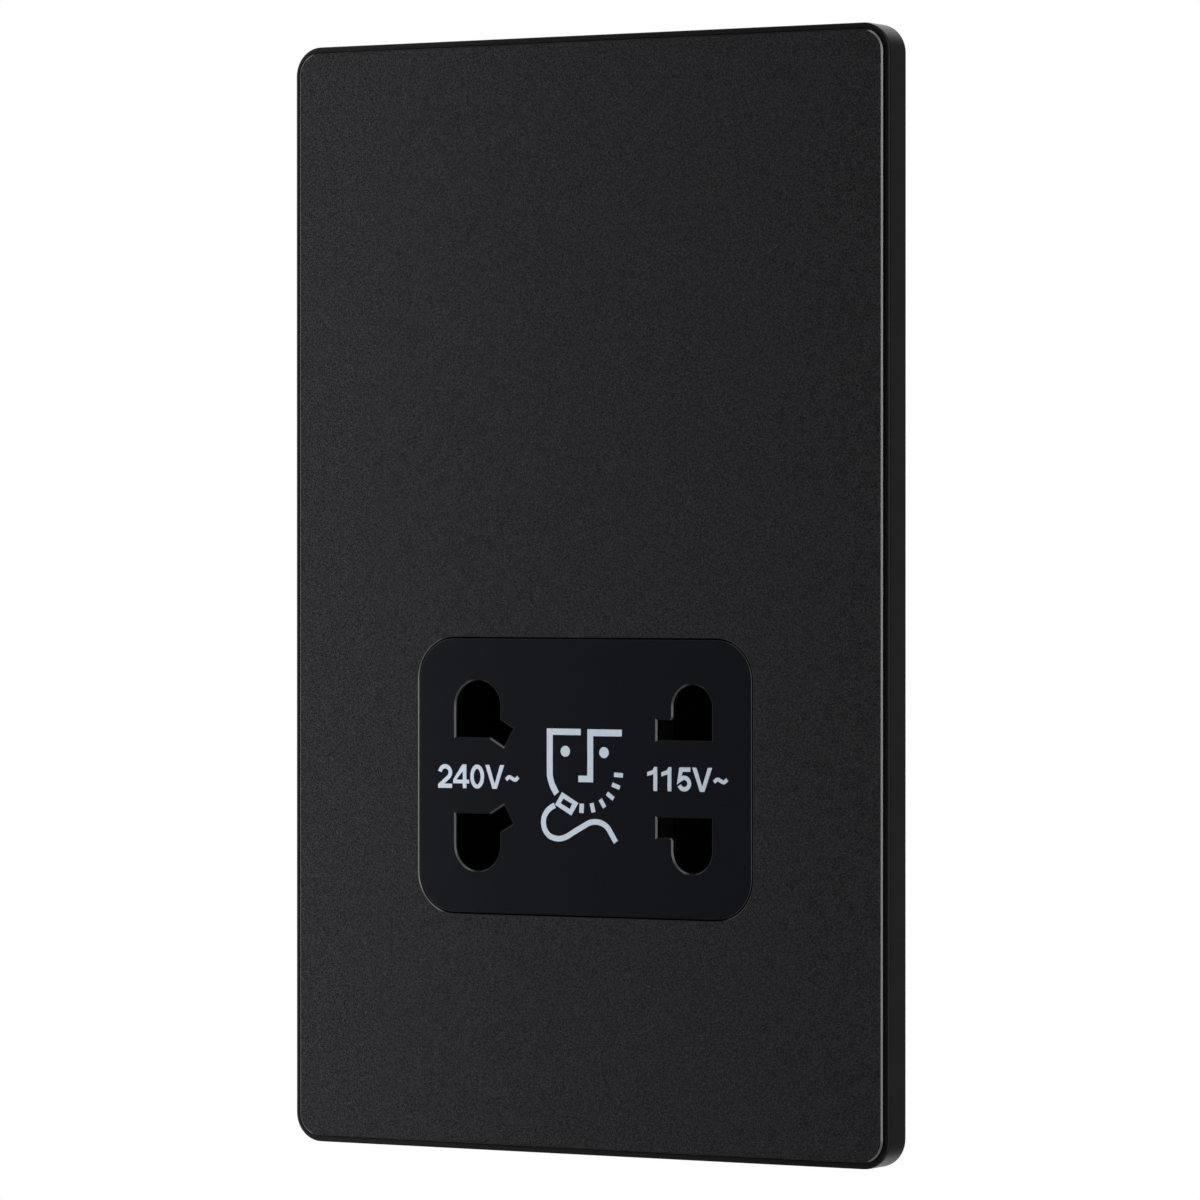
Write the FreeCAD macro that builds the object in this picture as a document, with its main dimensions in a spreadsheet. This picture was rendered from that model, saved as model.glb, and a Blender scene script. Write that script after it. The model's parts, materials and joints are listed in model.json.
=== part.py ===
import FreeCAD, Part
import os
import re
import Sketcher

# A two-voltage shaver supply unit for a wall box: a screwless front plate on a steel yoke,
# a socket face with two pairs of pin openings, shutters and contacts behind it, and an
# isolating transformer above them in a stepped rear case.
# X runs to the right, Y into the wall and Z up. The origin is on the wall's surface,
# midway between the two fixing holes.

# Driving sizes in millimetres, or degrees where the note says so
SIZES = [
    ("plate_width", 95, "front frame, across"),
    ("plate_height", 155, "front frame, up"),
    ("plate_corner", 4, "front frame corner radius"),
    ("frame_depth", 4.7, "rim, from the wall to its front"),
    ("frame_wall", 1.5, "thickness of the frame's sides"),
    ("frame_floor", 1.5, "thickness of the floor under the panel"),
    ("frame_edge", 0.3, "rounding of the rim's front edge"),
    ("panel_margin", 0.88, "width of rim left around the panel"),
    ("panel_thick", 1.2, "face panel thickness"),
    ("panel_step", 0.48, "how far the panel stands in front of the rim"),
    ("panel_edge", 0.2, "bevel around the panel's front"),
    ("panel_gap", 0.06, "gap between the panel's edge and its seat"),
    ("window_gap", 0.18, "gap between the socket face and the panel"),
    ("window_edge", 0.1, "bevel around the panel's window"),
    ("clip_gap", 3.1, "gap between the case and the clips"),
    ("clip_up", 44, "middle of the clips above and below the origin"),
    ("clip_length", 6, "clip leg along the height"),
    ("clip_thick", 1, "clip leg thickness"),
    ("clip_hook", 0.7, "how far a clip's hook reaches past its leg"),
    ("clip_reach", 1.4, "end of the clips behind the yoke"),
    ("hook_gap", 0.15, "gap between the yoke and the clips' hooks"),
    ("hook_flat", 0.2, "flat at the tip of a clip's hook"),
    ("clip_slot_across", 0.3, "gap between a clip and its slot, across"),
    ("clip_slot_up", 0.4, "gap between a clip and its slot, up"),
    ("outlet_level", -25.2, "height of the outlets' middle"),
    ("face_width", 53.1, "socket face, across"),
    ("face_height", 38.35, "socket face, up"),
    ("face_corner", 5.6, "socket face corner radius"),
    ("face_recess", 0.03, "socket face behind the panel's front"),
    ("face_edge", 0.18, "rounding of the socket face's front edge"),
    ("face_skin", 1, "thickness of the socket face at the pin openings"),
    ("wide_pin_across", 17.15, "middle of the wide pin openings"),
    ("wide_pin_width", 7.2, "wide pin opening, across"),
    ("wide_pin_near", 5.35, "flat end of a wide opening from the outlets' middle"),
    ("wide_pin_far", 13.3, "round end of a wide opening from the outlets' middle"),
    ("slant_angle", 30, "slant of the blade slots, degrees"),
    ("slant_width", 2.9, "width of the slanted blade slots"),
    ("slant_reach", 4.97, "end of a slanted slot from the opening's middle"),
    ("slim_pin_across", 17.2, "middle of the narrow pin openings"),
    ("slim_pin_width", 6.1, "narrow pin opening, across"),
    ("slim_pin_near", 5.32, "flat end of a narrow opening from the outlets' middle"),
    ("slim_pin_far", 12.95, "round end of a narrow opening from the outlets' middle"),
    ("side_slot_reach", 5.55, "end of a straight side slot from the opening's middle"),
    ("side_slot_height", 2.75, "height of the straight side slots"),
    ("side_slot_round", 0.5, "rounding where a side slot meets its opening"),
    ("opening_edge", 0.22, "bevel around the front of the pin openings"),
    ("yoke_inset_across", 3.5, "yoke inside the front frame, at each side"),
    ("yoke_inset_up", 4.5, "yoke inside the front frame, at each end"),
    ("yoke_corner", 3, "mounting yoke corner radius"),
    ("yoke_thick", 1.2, "mounting yoke sheet"),
    ("yoke_window_gap", 0.75, "gap between the yoke and the socket face"),
    ("fixing_centres", 120.6, "distance between the fixing holes"),
    ("fixing_hole", 4, "fixing hole diameter"),
    ("fixing_head", 9, "clear diameter for a fixing screw's head"),
    ("earth_across", 12.4, "middle of the earth tab and of the outer terminals"),
    ("earth_tab_width", 8, "earth tab, across"),
    ("earth_tab_reach", 8, "earth tab behind the yoke"),
    ("earth_tab_level", -56.2, "upper face of the earth tab"),
    ("tab_relief", 0.5, "relief beside the earth tab"),
    ("rivet_hole", 3.1, "earth rivet hole diameter"),
    ("rivet_body", 3, "earth rivet shank diameter"),
    ("rivet_head", 5, "earth rivet head diameter"),
    ("rivet_cap", 0.7, "height of the rivet's heads"),
    ("rivet_depth", 4.4, "earth rivet behind the yoke's rear face"),
    ("link_width", 5, "earth link, across"),
    ("link_thick", 0.8, "earth link strip"),
    ("link_start", 1, "front end of the earth link behind the yoke"),
    ("link_lap", 3, "how far the earth link laps its terminal"),
    ("link_gap", 0.1, "gap around the earth link in the housing"),
    ("case_top", 55, "top of the rear case"),
    ("case_bottom", -54, "underside of the rear case"),
    ("case_corner", 2.5, "rear case corner radius"),
    ("case_wall", 1.8, "rear case wall"),
    ("case_step", 0, "height where the deeper part of the case begins"),
    ("flange_thick", 2, "front wall of the module, behind the yoke"),
    ("low_depth", 29, "depth of the case behind the outlets"),
    ("high_depth", 33, "depth of the case behind the transformer"),
    ("hump_depth", 41, "depth of the case over the windings"),
    ("hump_width", 38, "winding cover, across"),
    ("hump_height", 32, "winding cover, up"),
    ("vent_width", 1.6, "width of a vent slot"),
    ("vent_length", 20, "length of a vent slot"),
    ("vent_pitch", 4.4, "distance between vent slots"),
    ("chamber_width", 46.8, "shutter chamber, across"),
    ("chamber_height", 33.2, "shutter chamber, up"),
    ("chamber_wall", 1.4, "shutter chamber wall"),
    ("chamber_gap", 0.4, "gap between the shutter chamber and the case's sides"),
    ("boss_inset", 3.4, "screw posts from the case's side walls"),
    ("boss_top", 49.8, "height of the upper screw posts"),
    ("boss_bottom", -48.8, "height of the lower screw posts"),
    ("boss_size", 6, "screw post diameter"),
    ("screw_hole", 2.5, "pilot hole diameter in the screw posts"),
    ("screw_body", 2.4, "self-tapping screw shank diameter"),
    ("screw_head", 5, "self-tapping screw head diameter"),
    ("screw_clearance", 3.2, "clearance hole diameter for a self-tapping screw"),
    ("screw_depth", 9, "depth of a pilot hole in a screw post"),
    ("screw_spare", 1, "clear depth past a screw's tip"),
    ("thin_head", 0.9, "height of the yoke screws' thin heads"),
    ("pan_head", 1.4, "height of the other screws' heads"),
    ("drive_slot", 0.6, "width of a screwdriver slot"),
    ("carrier_gap", 0.2, "gap between the contact carrier and the shutter chamber"),
    ("carrier_height", 31.6, "contact carrier, up"),
    ("carrier_front", 9.8, "front of the contact carrier"),
    ("carrier_rear", 24, "rear of the contact carrier"),
    ("well_width", 9, "contact well, across"),
    ("well_near", 5, "near edge of a well from the outlets' middle"),
    ("well_far", 12.9, "far edge of a well from the outlets' middle"),
    ("well_wall", 1, "least wall beside a contact well"),
    ("shutter_gap", 0.4, "gap between a shutter and the chamber's side wall"),
    ("shutter_inner", 10.8, "inner edge of a shutter flap from the centre line"),
    ("shutter_tip", 0.6, "flat at the front of a shutter ramp"),
    ("shutter_front", 1, "front of a shutter ramp"),
    ("shutter_low", 8.2, "rear end of a shutter ramp"),
    ("shutter_rear", 9.4, "rear face of a shutter"),
    ("shutter_near", 3.8, "near edge of a flap from the outlets' middle"),
    ("shutter_far", 14, "far edge of a flap from the outlets' middle"),
    ("shutter_web", 1.4, "outer web joining the two flaps"),
    ("web_front", 4.6, "front of the outer web"),
    ("shutter_travel", 10.2, "full stroke of a shutter"),
    ("cam_height", 1.8, "height of the cam arm beside the lower flap"),
    ("cam_front", 5.4, "front of the cam arm"),
    ("cam_lift", 1.5, "how far the cam arm pushes a switch plunger"),
    ("plunger_across", 11.4, "switch plunger from the centre line"),
    ("plunger_drop", 2.9, "switch plunger below the outlets' middle"),
    ("plunger_size", 1.6, "switch plunger diameter"),
    ("plunger_gap", 0.12, "gap between a plunger and its cam"),
    ("plunger_fit", 0.05, "radial clearance of a plunger in its switch"),
    ("plunger_length", 5.4, "switch plunger length"),
    ("plunger_spare", 0.3, "clear depth behind a plunger at full lift"),
    ("switch_outer", 13.1, "outer side of a switch from the centre line"),
    ("switch_inner", 1.4, "inner side of a switch from the centre line"),
    ("switch_drop", 4.1, "underside of a switch below the outlets' middle"),
    ("switch_height", 5.8, "switch, up"),
    ("switch_front", 10.4, "front of a switch"),
    ("switch_rear", 18.3, "rear of a switch"),
    ("switch_gap", 0.15, "gap around a switch in its pocket"),
    ("spring_outer", 3.6, "return spring outer diameter"),
    ("spring_wire", 0.4, "return spring wall"),
    ("spring_depth", 6.6, "depth of the return springs' axis"),
    ("rib_thick", 1.8, "spring rib on the centre line, across"),
    ("rib_height", 3.4, "spring rib, up"),
    ("peg_size", 2.2, "spring peg diameter"),
    ("peg_length", 2, "spring peg length"),
    ("contact_sheet", 0.6, "contact strip thickness"),
    ("contact_grip", 4.7, "width between the leaves where they grip a pin"),
    ("contact_mouth", 6.4, "width between the leaves at their mouth"),
    ("contact_root", 6, "width between the leaves at their root"),
    ("contact_front", 11.6, "front of the contact leaves"),
    ("grip_depth", 13.8, "depth where the leaves are closest"),
    ("contact_height", 6, "contact leaves, up"),
    ("strip_inset", 0.5, "contact strip inside the leaves, above and below"),
    ("strip_margin", 0.6, "contact strip past the leaves, at each side"),
    ("pin_level", 8.4, "contact middle from the outlets' middle"),
    ("block_width", 37.2, "terminal housing, across"),
    ("block_top", -33.5, "top of the terminal housing"),
    ("block_bottom", -47.5, "underside of the terminal housing"),
    ("block_depth", 40.6, "rear of the terminal housing"),
    ("block_wall", 1.4, "rear and top wall of the terminal housing"),
    ("brass_size", 7.8, "terminal across and deep"),
    ("brass_front", 31, "front face of the terminals"),
    ("brass_top", -36, "top of the terminals"),
    ("brass_bottom", -46.5, "underside of the terminals"),
    ("brass_gap", 0.2, "gap around a terminal in its housing"),
    ("wire_bore", 4.2, "wire hole diameter in a terminal"),
    ("wire_depth", 34, "depth of the wire holes' axis"),
    ("clamp_hole", 3.5, "clamp screw hole diameter"),
    ("clamp_body", 3.4, "clamp screw diameter"),
    ("clamp_tip", 36.3, "tip of a clamp screw at rest, clear of the wire hole"),
    ("clamp_length", 4.2, "clamp screw length"),
    ("clamp_slot", 0.9, "depth of a clamp screw's slot"),
    ("clamp_access", 4.8, "screwdriver hole diameter over a clamp screw"),
    ("tail_width", 3.2, "terminal tail, across"),
    ("tail_thick", 0.8, "terminal tail thickness"),
    ("tail_level", -40, "middle height of the terminal tails"),
    ("tail_end", 25.6, "front end of the terminal tails"),
    ("tail_gap", 0.25, "gap around a tail where it enters the case"),
    ("core_level", 26, "middle height of the transformer"),
    ("core_width", 48, "lamination stack, across"),
    ("core_gap", 1.2, "gap between the lamination stack and the case's sides"),
    ("core_height", 40, "lamination stack, up"),
    ("core_front", 11, "front of the lamination stack"),
    ("core_rear", 29, "rear of the lamination stack"),
    ("core_leg", 16, "centre leg of the laminations"),
    ("core_window", 8, "width of a lamination window"),
    ("core_opening", 24, "height of a lamination window"),
    ("core_hole", 3.6, "hole diameter in the laminations"),
    ("core_hole_in", 4, "lamination holes from the stack's edges"),
    ("core_screw", 2.9, "core screw shank diameter"),
    ("core_pilot", 3, "pilot hole diameter in the core posts"),
    ("core_head", 5.4, "core screw head diameter"),
    ("core_post", 6, "core post diameter"),
    ("core_pilot_depth", 6, "depth of a pilot hole in a core post"),
    ("bobbin_wall", 0.9, "bobbin tube wall"),
    ("bobbin_gap", 0.15, "gap between the bobbin and the laminations"),
    ("bobbin_flange", 1.2, "bobbin flange thickness"),
    ("bobbin_end_gap", 0.2, "gap between the bobbin and the ends of its windows"),
    ("coil_reach", 7.8, "bobbin flange past the centre leg"),
    ("winding_inset", 0.5, "windings inside the edge of the flanges"),
    ("winding_round", 2.5, "corner radius of the windings"),
    ("cutout_width", 10, "thermal cut-out, across"),
    ("cutout_height", 8, "thermal cut-out, up"),
    ("cutout_thick", 2.4, "thermal cut-out thickness"),
    ("cutout_across", -9, "middle of the thermal cut-out"),
    ("cutout_gap", 0.1, "gap between the cut-out and the winding"),
    ("cutout_margin", 0.6, "gap between the cut-out and the lower bobbin flange"),
    ("lead_size", 1.3, "insulated lead diameter"),
    ("lead_low_depth", 26, "depth of the leads behind the carrier"),
    ("lead_high_depth", 30.15, "depth of the leads behind the laminations"),
    ("lead_turn", 3, "height where the leads turn back"),
    ("lead_gap", 0.4, "gap between the leads and the bobbin's ends"),
    ("lead_screw_gap", 0.2, "gap between the outlet leads and the core screws"),
    ("common_across", 6, "common lead from the centre line"),
]

# Positions worked out from the driving sizes
WORKED_OUT = {
    "half_width": "plate_width / 2",
    "half_height": "plate_height / 2",
    "rim_front": "-frame_depth",
    "panel_front": "-frame_depth - panel_step",
    "panel_rear": "panel_front + panel_thick",
    "panel_half_width": "half_width - panel_margin",
    "panel_half_height": "half_height - panel_margin",
    "panel_corner": "plate_corner - panel_margin",
    "floor_rear": "panel_rear + frame_floor",
    "face_front": "panel_front + face_recess",
    "face_half": "face_width / 2",
    "face_bottom": "outlet_level - face_height / 2",
    "face_top": "outlet_level + face_height / 2",
    "core_room": "core_width / 2 + core_gap",
    "chamber_room": "chamber_half + chamber_wall + chamber_gap",
    "case_inner": "max(core_room, chamber_room)",
    "case_half": "case_inner + case_wall",
    "boss_across": "case_inner - boss_inset",
    "clip_inner": "case_half + clip_gap",
    "clip_outer": "clip_inner + clip_thick",
    "yoke_half_width": "half_width - yoke_inset_across",
    "yoke_half_height": "half_height - yoke_inset_up",
    "low_floor": "low_depth - case_wall",
    "high_floor": "high_depth - case_wall",
    "hump_floor": "hump_depth - case_wall",
    "hump_half": "hump_width / 2",
    "hump_bottom": "core_level - hump_height / 2",
    "hump_top": "core_level + hump_height / 2",
    "chamber_half": "chamber_width / 2",
    "chamber_rear": "carrier_front - carrier_gap",
    "chamber_bottom": "outlet_level - chamber_height / 2",
    "chamber_top": "outlet_level + chamber_height / 2",
    "shutter_outer": "chamber_half - shutter_gap - shutter_web",
    "well_room": "wide_pin_across + well_width / 2 + well_wall",
    "carrier_half": "max(chamber_half - carrier_gap, well_room)",
    "carrier_bottom": "outlet_level - carrier_height / 2",
    "carrier_top": "outlet_level + carrier_height / 2",
    "plunger_level": "outlet_level - plunger_drop",
    "cam_slope": "cam_lift / shutter_travel",
    "cam_start": "shutter_rear - (shutter_outer - plunger_across) * cam_slope",
    "block_half": "block_width / 2",
    "brass_rear": "brass_front + brass_size",
    "core_bottom": "core_level - core_height / 2",
    "core_top": "core_level + core_height / 2",
    "core_hole_across": "core_width / 2 - core_hole_in",
    "core_hole_up": "core_height / 2 - core_hole_in",
    "tube_half": "core_leg / 2 + bobbin_gap + bobbin_wall",
    "tube_front": "core_front - bobbin_gap - bobbin_wall",
    "tube_rear": "core_rear + bobbin_gap + bobbin_wall",
    "coil_half": "core_leg / 2 + coil_reach",
    "coil_front": "core_front - coil_reach",
    "coil_rear": "core_rear + coil_reach",
    "coil_bottom": "core_level - core_opening / 2 + bobbin_end_gap",
    "coil_top": "core_level + core_opening / 2 - bobbin_end_gap",
    "winding_rear": "coil_rear - winding_inset",
    "cutout_low": "coil_bottom + bobbin_flange + cutout_margin",
    "lead_side": "core_hole_across - core_head / 2 - lead_size / 2 - lead_screw_gap",
}

document = FreeCAD.newDocument("shaver_socket")
sheet = document.addObject("Spreadsheet::Sheet", "sizes")
for row, (name, value, note) in enumerate(SIZES, start=1):
    sheet.set(f"A{row}", name)
    sheet.set(f"B{row}", str(value))
    sheet.set(f"C{row}", note)
    sheet.setAlias(f"B{row}", name)
document.recompute()

scratch = document.addObject("Spreadsheet::Sheet", "working")
DRIVING = {name for name, value, note in SIZES}
KEPT = []


def bound(text):
    """The expression with each size's name pointing at its cell in the sheet."""

    def swap(match):
        word = match.group(0)
        if word in WORKED_OUT:
            return f"({bound(WORKED_OUT[word])})"
        return f"sizes.{word}" if word in DRIVING else word

    return re.sub(r"[a-z][a-z_]*", swap, text)


def number(text):
    """What the expression comes to with the sizes as they stand."""
    scratch.set("A1", f"={bound(text)}")
    scratch.recompute()
    return float(scratch.get("A1"))


def rectangle(left, right, low, high):
    """A plain rectangle as an outline."""
    return [(left, low), (right, low), (right, high), (left, high)]


def mirrored(points):
    """The outline mirrored left to right, still running the same way round."""
    return [(f"-({across})", up) for across, up in reversed(points)]


def draw_outline(sketch, points, arc_after=None):
    """Draw straight sides between the points, with a half circle after one of them."""
    spots = [FreeCAD.Vector(number(across), number(up), 0) for across, up in points]
    count = len(points)
    first = sketch.GeometryCount
    for index, start in enumerate(spots):
        end = spots[(index + 1) % count]
        if index == arc_after:
            chord = end - start
            crown = (start + end) / 2 + FreeCAD.Vector(chord.y, -chord.x, 0) / 2
            sketch.addGeometry(Part.Arc(start, crown, end), False)
        else:
            sketch.addGeometry(Part.LineSegment(start, end), False)
    for index in range(count):
        joined = "Tangent" if (index + 1) % count == arc_after else "Coincident"
        following = first + (index + 1) % count
        sketch.addConstraint(Sketcher.Constraint(joined, first + index, 2, following, 1))
    for index, point in enumerate(points):
        for kind, text in zip(("DistanceX", "DistanceY"), point):
            held = Sketcher.Constraint(kind, -1, 1, first + index, 1, number(text))
            place = sketch.addConstraint(held)
            sketch.setExpression(f"Constraints[{place}]", bound(text))


def draw_circle(sketch, across, up, diameter):
    """Draw a circle about a point."""
    centre = FreeCAD.Vector(number(across), number(up), 0)
    circle = Part.Circle(centre, FreeCAD.Vector(0, 0, 1), number(diameter) / 2)
    index = sketch.addGeometry(circle, False)
    for kind, text in (("DistanceX", across), ("DistanceY", up)):
        place = sketch.addConstraint(Sketcher.Constraint(kind, -1, 1, index, 3, number(text)))
        sketch.setExpression(f"Constraints[{place}]", bound(text))
    place = sketch.addConstraint(Sketcher.Constraint("Diameter", index, number(diameter)))
    sketch.setExpression(f"Constraints[{place}]", bound(diameter))


def draw_rounded(sketch, left, right, low, high, radius):
    """Draw a rectangle with four equal round corners."""
    west, east, south, north = (number(text) for text in (left, right, low, high))
    bend = number(radius)
    sides = [
        ((west + bend, south), (east - bend, south)),
        ((east, south + bend), (east, north - bend)),
        ((east - bend, north), (west + bend, north)),
        ((west, north - bend), (west, south + bend)),
    ]
    middles = [
        (east - bend, south + bend),
        (east - bend, north - bend),
        (west + bend, north - bend),
        (west + bend, south + bend),
    ]
    first = sketch.GeometryCount
    for start, end in sides:
        sketch.addGeometry(
            Part.LineSegment(FreeCAD.Vector(*start, 0), FreeCAD.Vector(*end, 0)), False
        )
    for quarter, middle in enumerate(middles):
        circle = Part.Circle(FreeCAD.Vector(*middle, 0), FreeCAD.Vector(0, 0, 1), bend)
        turn = FreeCAD.Units.Quantity(f"{90 * quarter - 90} deg").getValueAs("rad").Value
        quarter_turn = FreeCAD.Units.Quantity("90 deg").getValueAs("rad").Value
        sketch.addGeometry(Part.ArcOfCircle(circle, turn, turn + quarter_turn), False)
    for side in range(4):
        corner = first + 4 + side
        following = first + (side + 1) % 4
        sketch.addConstraint(Sketcher.Constraint("Tangent", first + side, 2, corner, 1))
        sketch.addConstraint(Sketcher.Constraint("Tangent", corner, 2, following, 1))
        flat = "Horizontal" if side % 2 == 0 else "Vertical"
        sketch.addConstraint(Sketcher.Constraint(flat, first + side))
    for corner in range(first + 5, first + 8):
        sketch.addConstraint(Sketcher.Constraint("Equal", first + 4, corner))
    held = [
        (Sketcher.Constraint("DistanceY", -1, 1, first, 1, south), low),
        (Sketcher.Constraint("DistanceX", -1, 1, first + 1, 1, east), right),
        (Sketcher.Constraint("DistanceY", -1, 1, first + 2, 1, north), high),
        (Sketcher.Constraint("DistanceX", -1, 1, first + 3, 1, west), left),
        (Sketcher.Constraint("Radius", first + 4, bend), radius),
    ]
    for constraint, text in held:
        place = sketch.addConstraint(constraint)
        sketch.setExpression(f"Constraints[{place}]", bound(text))


class Moulding:
    """One piece built up along the axes from outlines, rounded rectangles and circles."""

    PLANES = {"X": "YZ_Plane", "Y": "XZ_Plane", "Z": "XY_Plane"}

    def __init__(self, label):
        self.body = document.addObject("PartDesign::Body", label)
        self.body.Label = label
        KEPT.append(self.body)

    def sketch(self, axis, level):
        """An empty sketch across the axis at this level."""
        sketch = self.body.newObject("Sketcher::SketchObject", f"{self.body.Name}_outline")
        role = self.PLANES[axis]
        plane = next(one for one in self.body.Origin.OriginFeatures if one.Role == role)
        sketch.AttachmentSupport = [(plane, "")]
        sketch.MapMode = "FlatFace"
        sign = "-1" if axis == "Y" else "1"
        sketch.setExpression("AttachmentOffset.Base.z", bound(f"{sign} * ({level})"))
        return sketch

    def feature(self, kind, sketch, start, end):
        feature = self.body.newObject(kind, f"{self.body.Name}_{kind[12:].lower()}")
        feature.Profile = sketch
        feature.setExpression("Length", bound(f"({end}) - ({start})"))
        document.recompute()

    def filled(self, axis, start, end):
        """A sketch that will be padded from start to end along the axis."""
        return self.sketch(axis, end if axis == "Y" else start)

    def emptied(self, axis, start, end):
        """A sketch that will be pocketed from start to end along the axis."""
        return self.sketch(axis, start if axis == "Y" else end)

    def add(self, axis, start, end, *outlines):
        sketch = self.filled(axis, start, end)
        for outline in outlines:
            draw_outline(sketch, outline)
        self.feature("PartDesign::Pad", sketch, start, end)

    def take(self, axis, start, end, *outlines, arc_after=None):
        sketch = self.emptied(axis, start, end)
        for outline in outlines:
            draw_outline(sketch, outline, arc_after)
        self.feature("PartDesign::Pocket", sketch, start, end)

    def add_rounded(self, axis, start, end, *sizes):
        sketch = self.filled(axis, start, end)
        draw_rounded(sketch, *sizes)
        self.feature("PartDesign::Pad", sketch, start, end)

    def take_rounded(self, axis, start, end, *sizes):
        sketch = self.emptied(axis, start, end)
        draw_rounded(sketch, *sizes)
        self.feature("PartDesign::Pocket", sketch, start, end)

    def add_round(self, axis, start, end, diameter, *centres):
        sketch = self.filled(axis, start, end)
        for across, up in centres:
            draw_circle(sketch, across, up, diameter)
        self.feature("PartDesign::Pad", sketch, start, end)

    def take_round(self, axis, start, end, diameter, *centres):
        sketch = self.emptied(axis, start, end)
        for across, up in centres:
            draw_circle(sketch, across, up, diameter)
        self.feature("PartDesign::Pocket", sketch, start, end)

    def soften(self, kind, size, chosen):
        """Round or bevel the edges that the test picks out."""
        base = self.body.Tip
        names = [
            f"Edge{index}"
            for index, edge in enumerate(base.Shape.Edges, start=1)
            if chosen(edge)
        ]
        feature = self.body.newObject(f"PartDesign::{kind}", f"{self.body.Name}_edge")
        feature.Base = (base, names)
        measure = "Radius" if kind == "Fillet" else "Size"
        feature.setExpression(measure, bound(size))
        document.recompute()


def lies_at(edge, level):
    """Whether every corner of the edge has this depth."""
    return all(abs(vertex.Y - number(level)) < 0.001 for vertex in edge.Vertexes)


def runs_deep_at(edge, across, up):
    """Whether the edge runs along Y through this point of the front view."""
    box = edge.BoundBox
    straight = box.XLength < 0.001 and box.ZLength < 0.001
    return (
        straight
        and abs(box.Center.x - number(across)) < 0.01
        and abs(box.Center.z - number(up)) < 0.01
    )


def block(name, left, right, front, rear, low, high):
    """A plain box between six levels."""
    box = document.addObject("Part::Box", name)
    for side, start, end in (
        ("Length", left, right),
        ("Width", front, rear),
        ("Height", low, high),
    ):
        box.setExpression(side, bound(f"({end}) - ({start})"))
    for axis, level in (("x", left), ("y", front), ("z", low)):
        box.setExpression(f"Placement.Base.{axis}", bound(level))
    return box


def rod(name, axis, start, end, across, up, diameter):
    """A cylinder along an axis. across and up are its other two coordinates in X, Y, Z order."""
    cylinder = document.addObject("Part::Cylinder", name)
    turns = {
        "X": FreeCAD.Rotation(FreeCAD.Vector(0, 1, 0), 90),
        "Y": FreeCAD.Rotation(FreeCAD.Vector(1, 0, 0), -90),
        "Z": FreeCAD.Rotation(),
    }
    cylinder.Placement = FreeCAD.Placement(FreeCAD.Vector(), turns[axis])
    cylinder.setExpression("Radius", bound(f"({diameter}) / 2"))
    cylinder.setExpression("Height", bound(f"({end}) - ({start})"))
    base = {"X": (start, across, up), "Y": (across, start, up), "Z": (across, up, start)}
    for letter, level in zip("xyz", base[axis]):
        cylinder.setExpression(f"Placement.Base.{letter}", bound(level))
    return cylinder


def ball(name, across, deep, up, diameter):
    """A sphere about a point."""
    sphere = document.addObject("Part::Sphere", name)
    sphere.setExpression("Radius", bound(f"({diameter}) / 2"))
    for letter, level in zip("xyz", (across, deep, up)):
        sphere.setExpression(f"Placement.Base.{letter}", bound(level))
    return sphere


def joined(label, shapes):
    """The shapes fused into one piece."""
    fuse = document.addObject("Part::MultiFuse", label)
    fuse.Label = label
    fuse.Shapes = shapes
    return fuse


def without(label, base, tool):
    """The base with the tool's space removed."""
    cut = document.addObject("Part::Cut", label)
    cut.Label = label
    cut.Base = base
    cut.Tool = tool
    return cut


def keep(piece):
    KEPT.append(piece)
    return piece


def screw_set(label, places, head, head_start, head_end, tip, shank_size, head_size):
    """Slotted screws along Y at each place, as one group of separate solids.

    head is the side that the screws are driven from. Each place gives the axis in X and Z
    and a shift along Y, which moves the head's two levels and the tip.
    """
    screws = []
    for index, (across, up, shift) in enumerate(places, start=1):
        near, far, end = (f"{level} + {shift}" for level in (head_start, head_end, tip))
        if head == "front":
            shank_start, shank_end = near, end
            slot_start, slot_end = near, f"{near} + thin_head / 2"
        else:
            shank_start, shank_end = end, far
            slot_start, slot_end = f"{far} - thin_head / 2", far
        name = f"{label}_{index}"
        shank = rod(f"{name}_shank", "Y", shank_start, shank_end, across, up, shank_size)
        cap = rod(f"{name}_head", "Y", near, far, across, up, head_size)
        slot = block(
            f"{name}_slot",
            f"{across} - {head_size}",
            f"{across} + {head_size}",
            slot_start,
            slot_end,
            f"{up} - drive_slot / 2",
            f"{up} + drive_slot / 2",
        )
        screws.append(without(f"{name}_done", joined(f"{name}_whole", [shank, cap]), slot))
    group = document.addObject("Part::Compound", label)
    group.Label = label
    group.Links = screws
    return keep(group)


# Front frame: a shallow black tray with a narrow rim, a seat for the panel and four clips
frame = Moulding("front_frame")
frame.add_rounded(
    "Y", "rim_front", "0", "-half_width", "half_width", "-half_height", "half_height", "plate_corner"
)
frame.soften("Fillet", "frame_edge", lambda edge: lies_at(edge, "rim_front"))
frame.take_rounded(
    "Y",
    "floor_rear",
    "0",
    "frame_wall - half_width",
    "half_width - frame_wall",
    "frame_wall - half_height",
    "half_height - frame_wall",
    "plate_corner - frame_wall",
)
frame.take_rounded(
    "Y",
    "rim_front",
    "panel_rear",
    "-panel_half_width - panel_gap",
    "panel_half_width + panel_gap",
    "-panel_half_height - panel_gap",
    "panel_half_height + panel_gap",
    "panel_corner + panel_gap",
)
frame.take_rounded(
    "Y",
    "panel_rear",
    "floor_rear",
    "-face_half - yoke_window_gap",
    "face_half + yoke_window_gap",
    "face_bottom - yoke_window_gap",
    "face_top + yoke_window_gap",
    "face_corner + yoke_window_gap",
)
frame.take_round(
    "Y",
    "panel_rear",
    "floor_rear",
    "fixing_head",
    ("0", "fixing_centres / 2"),
    ("0", "-fixing_centres / 2"),
)
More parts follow.
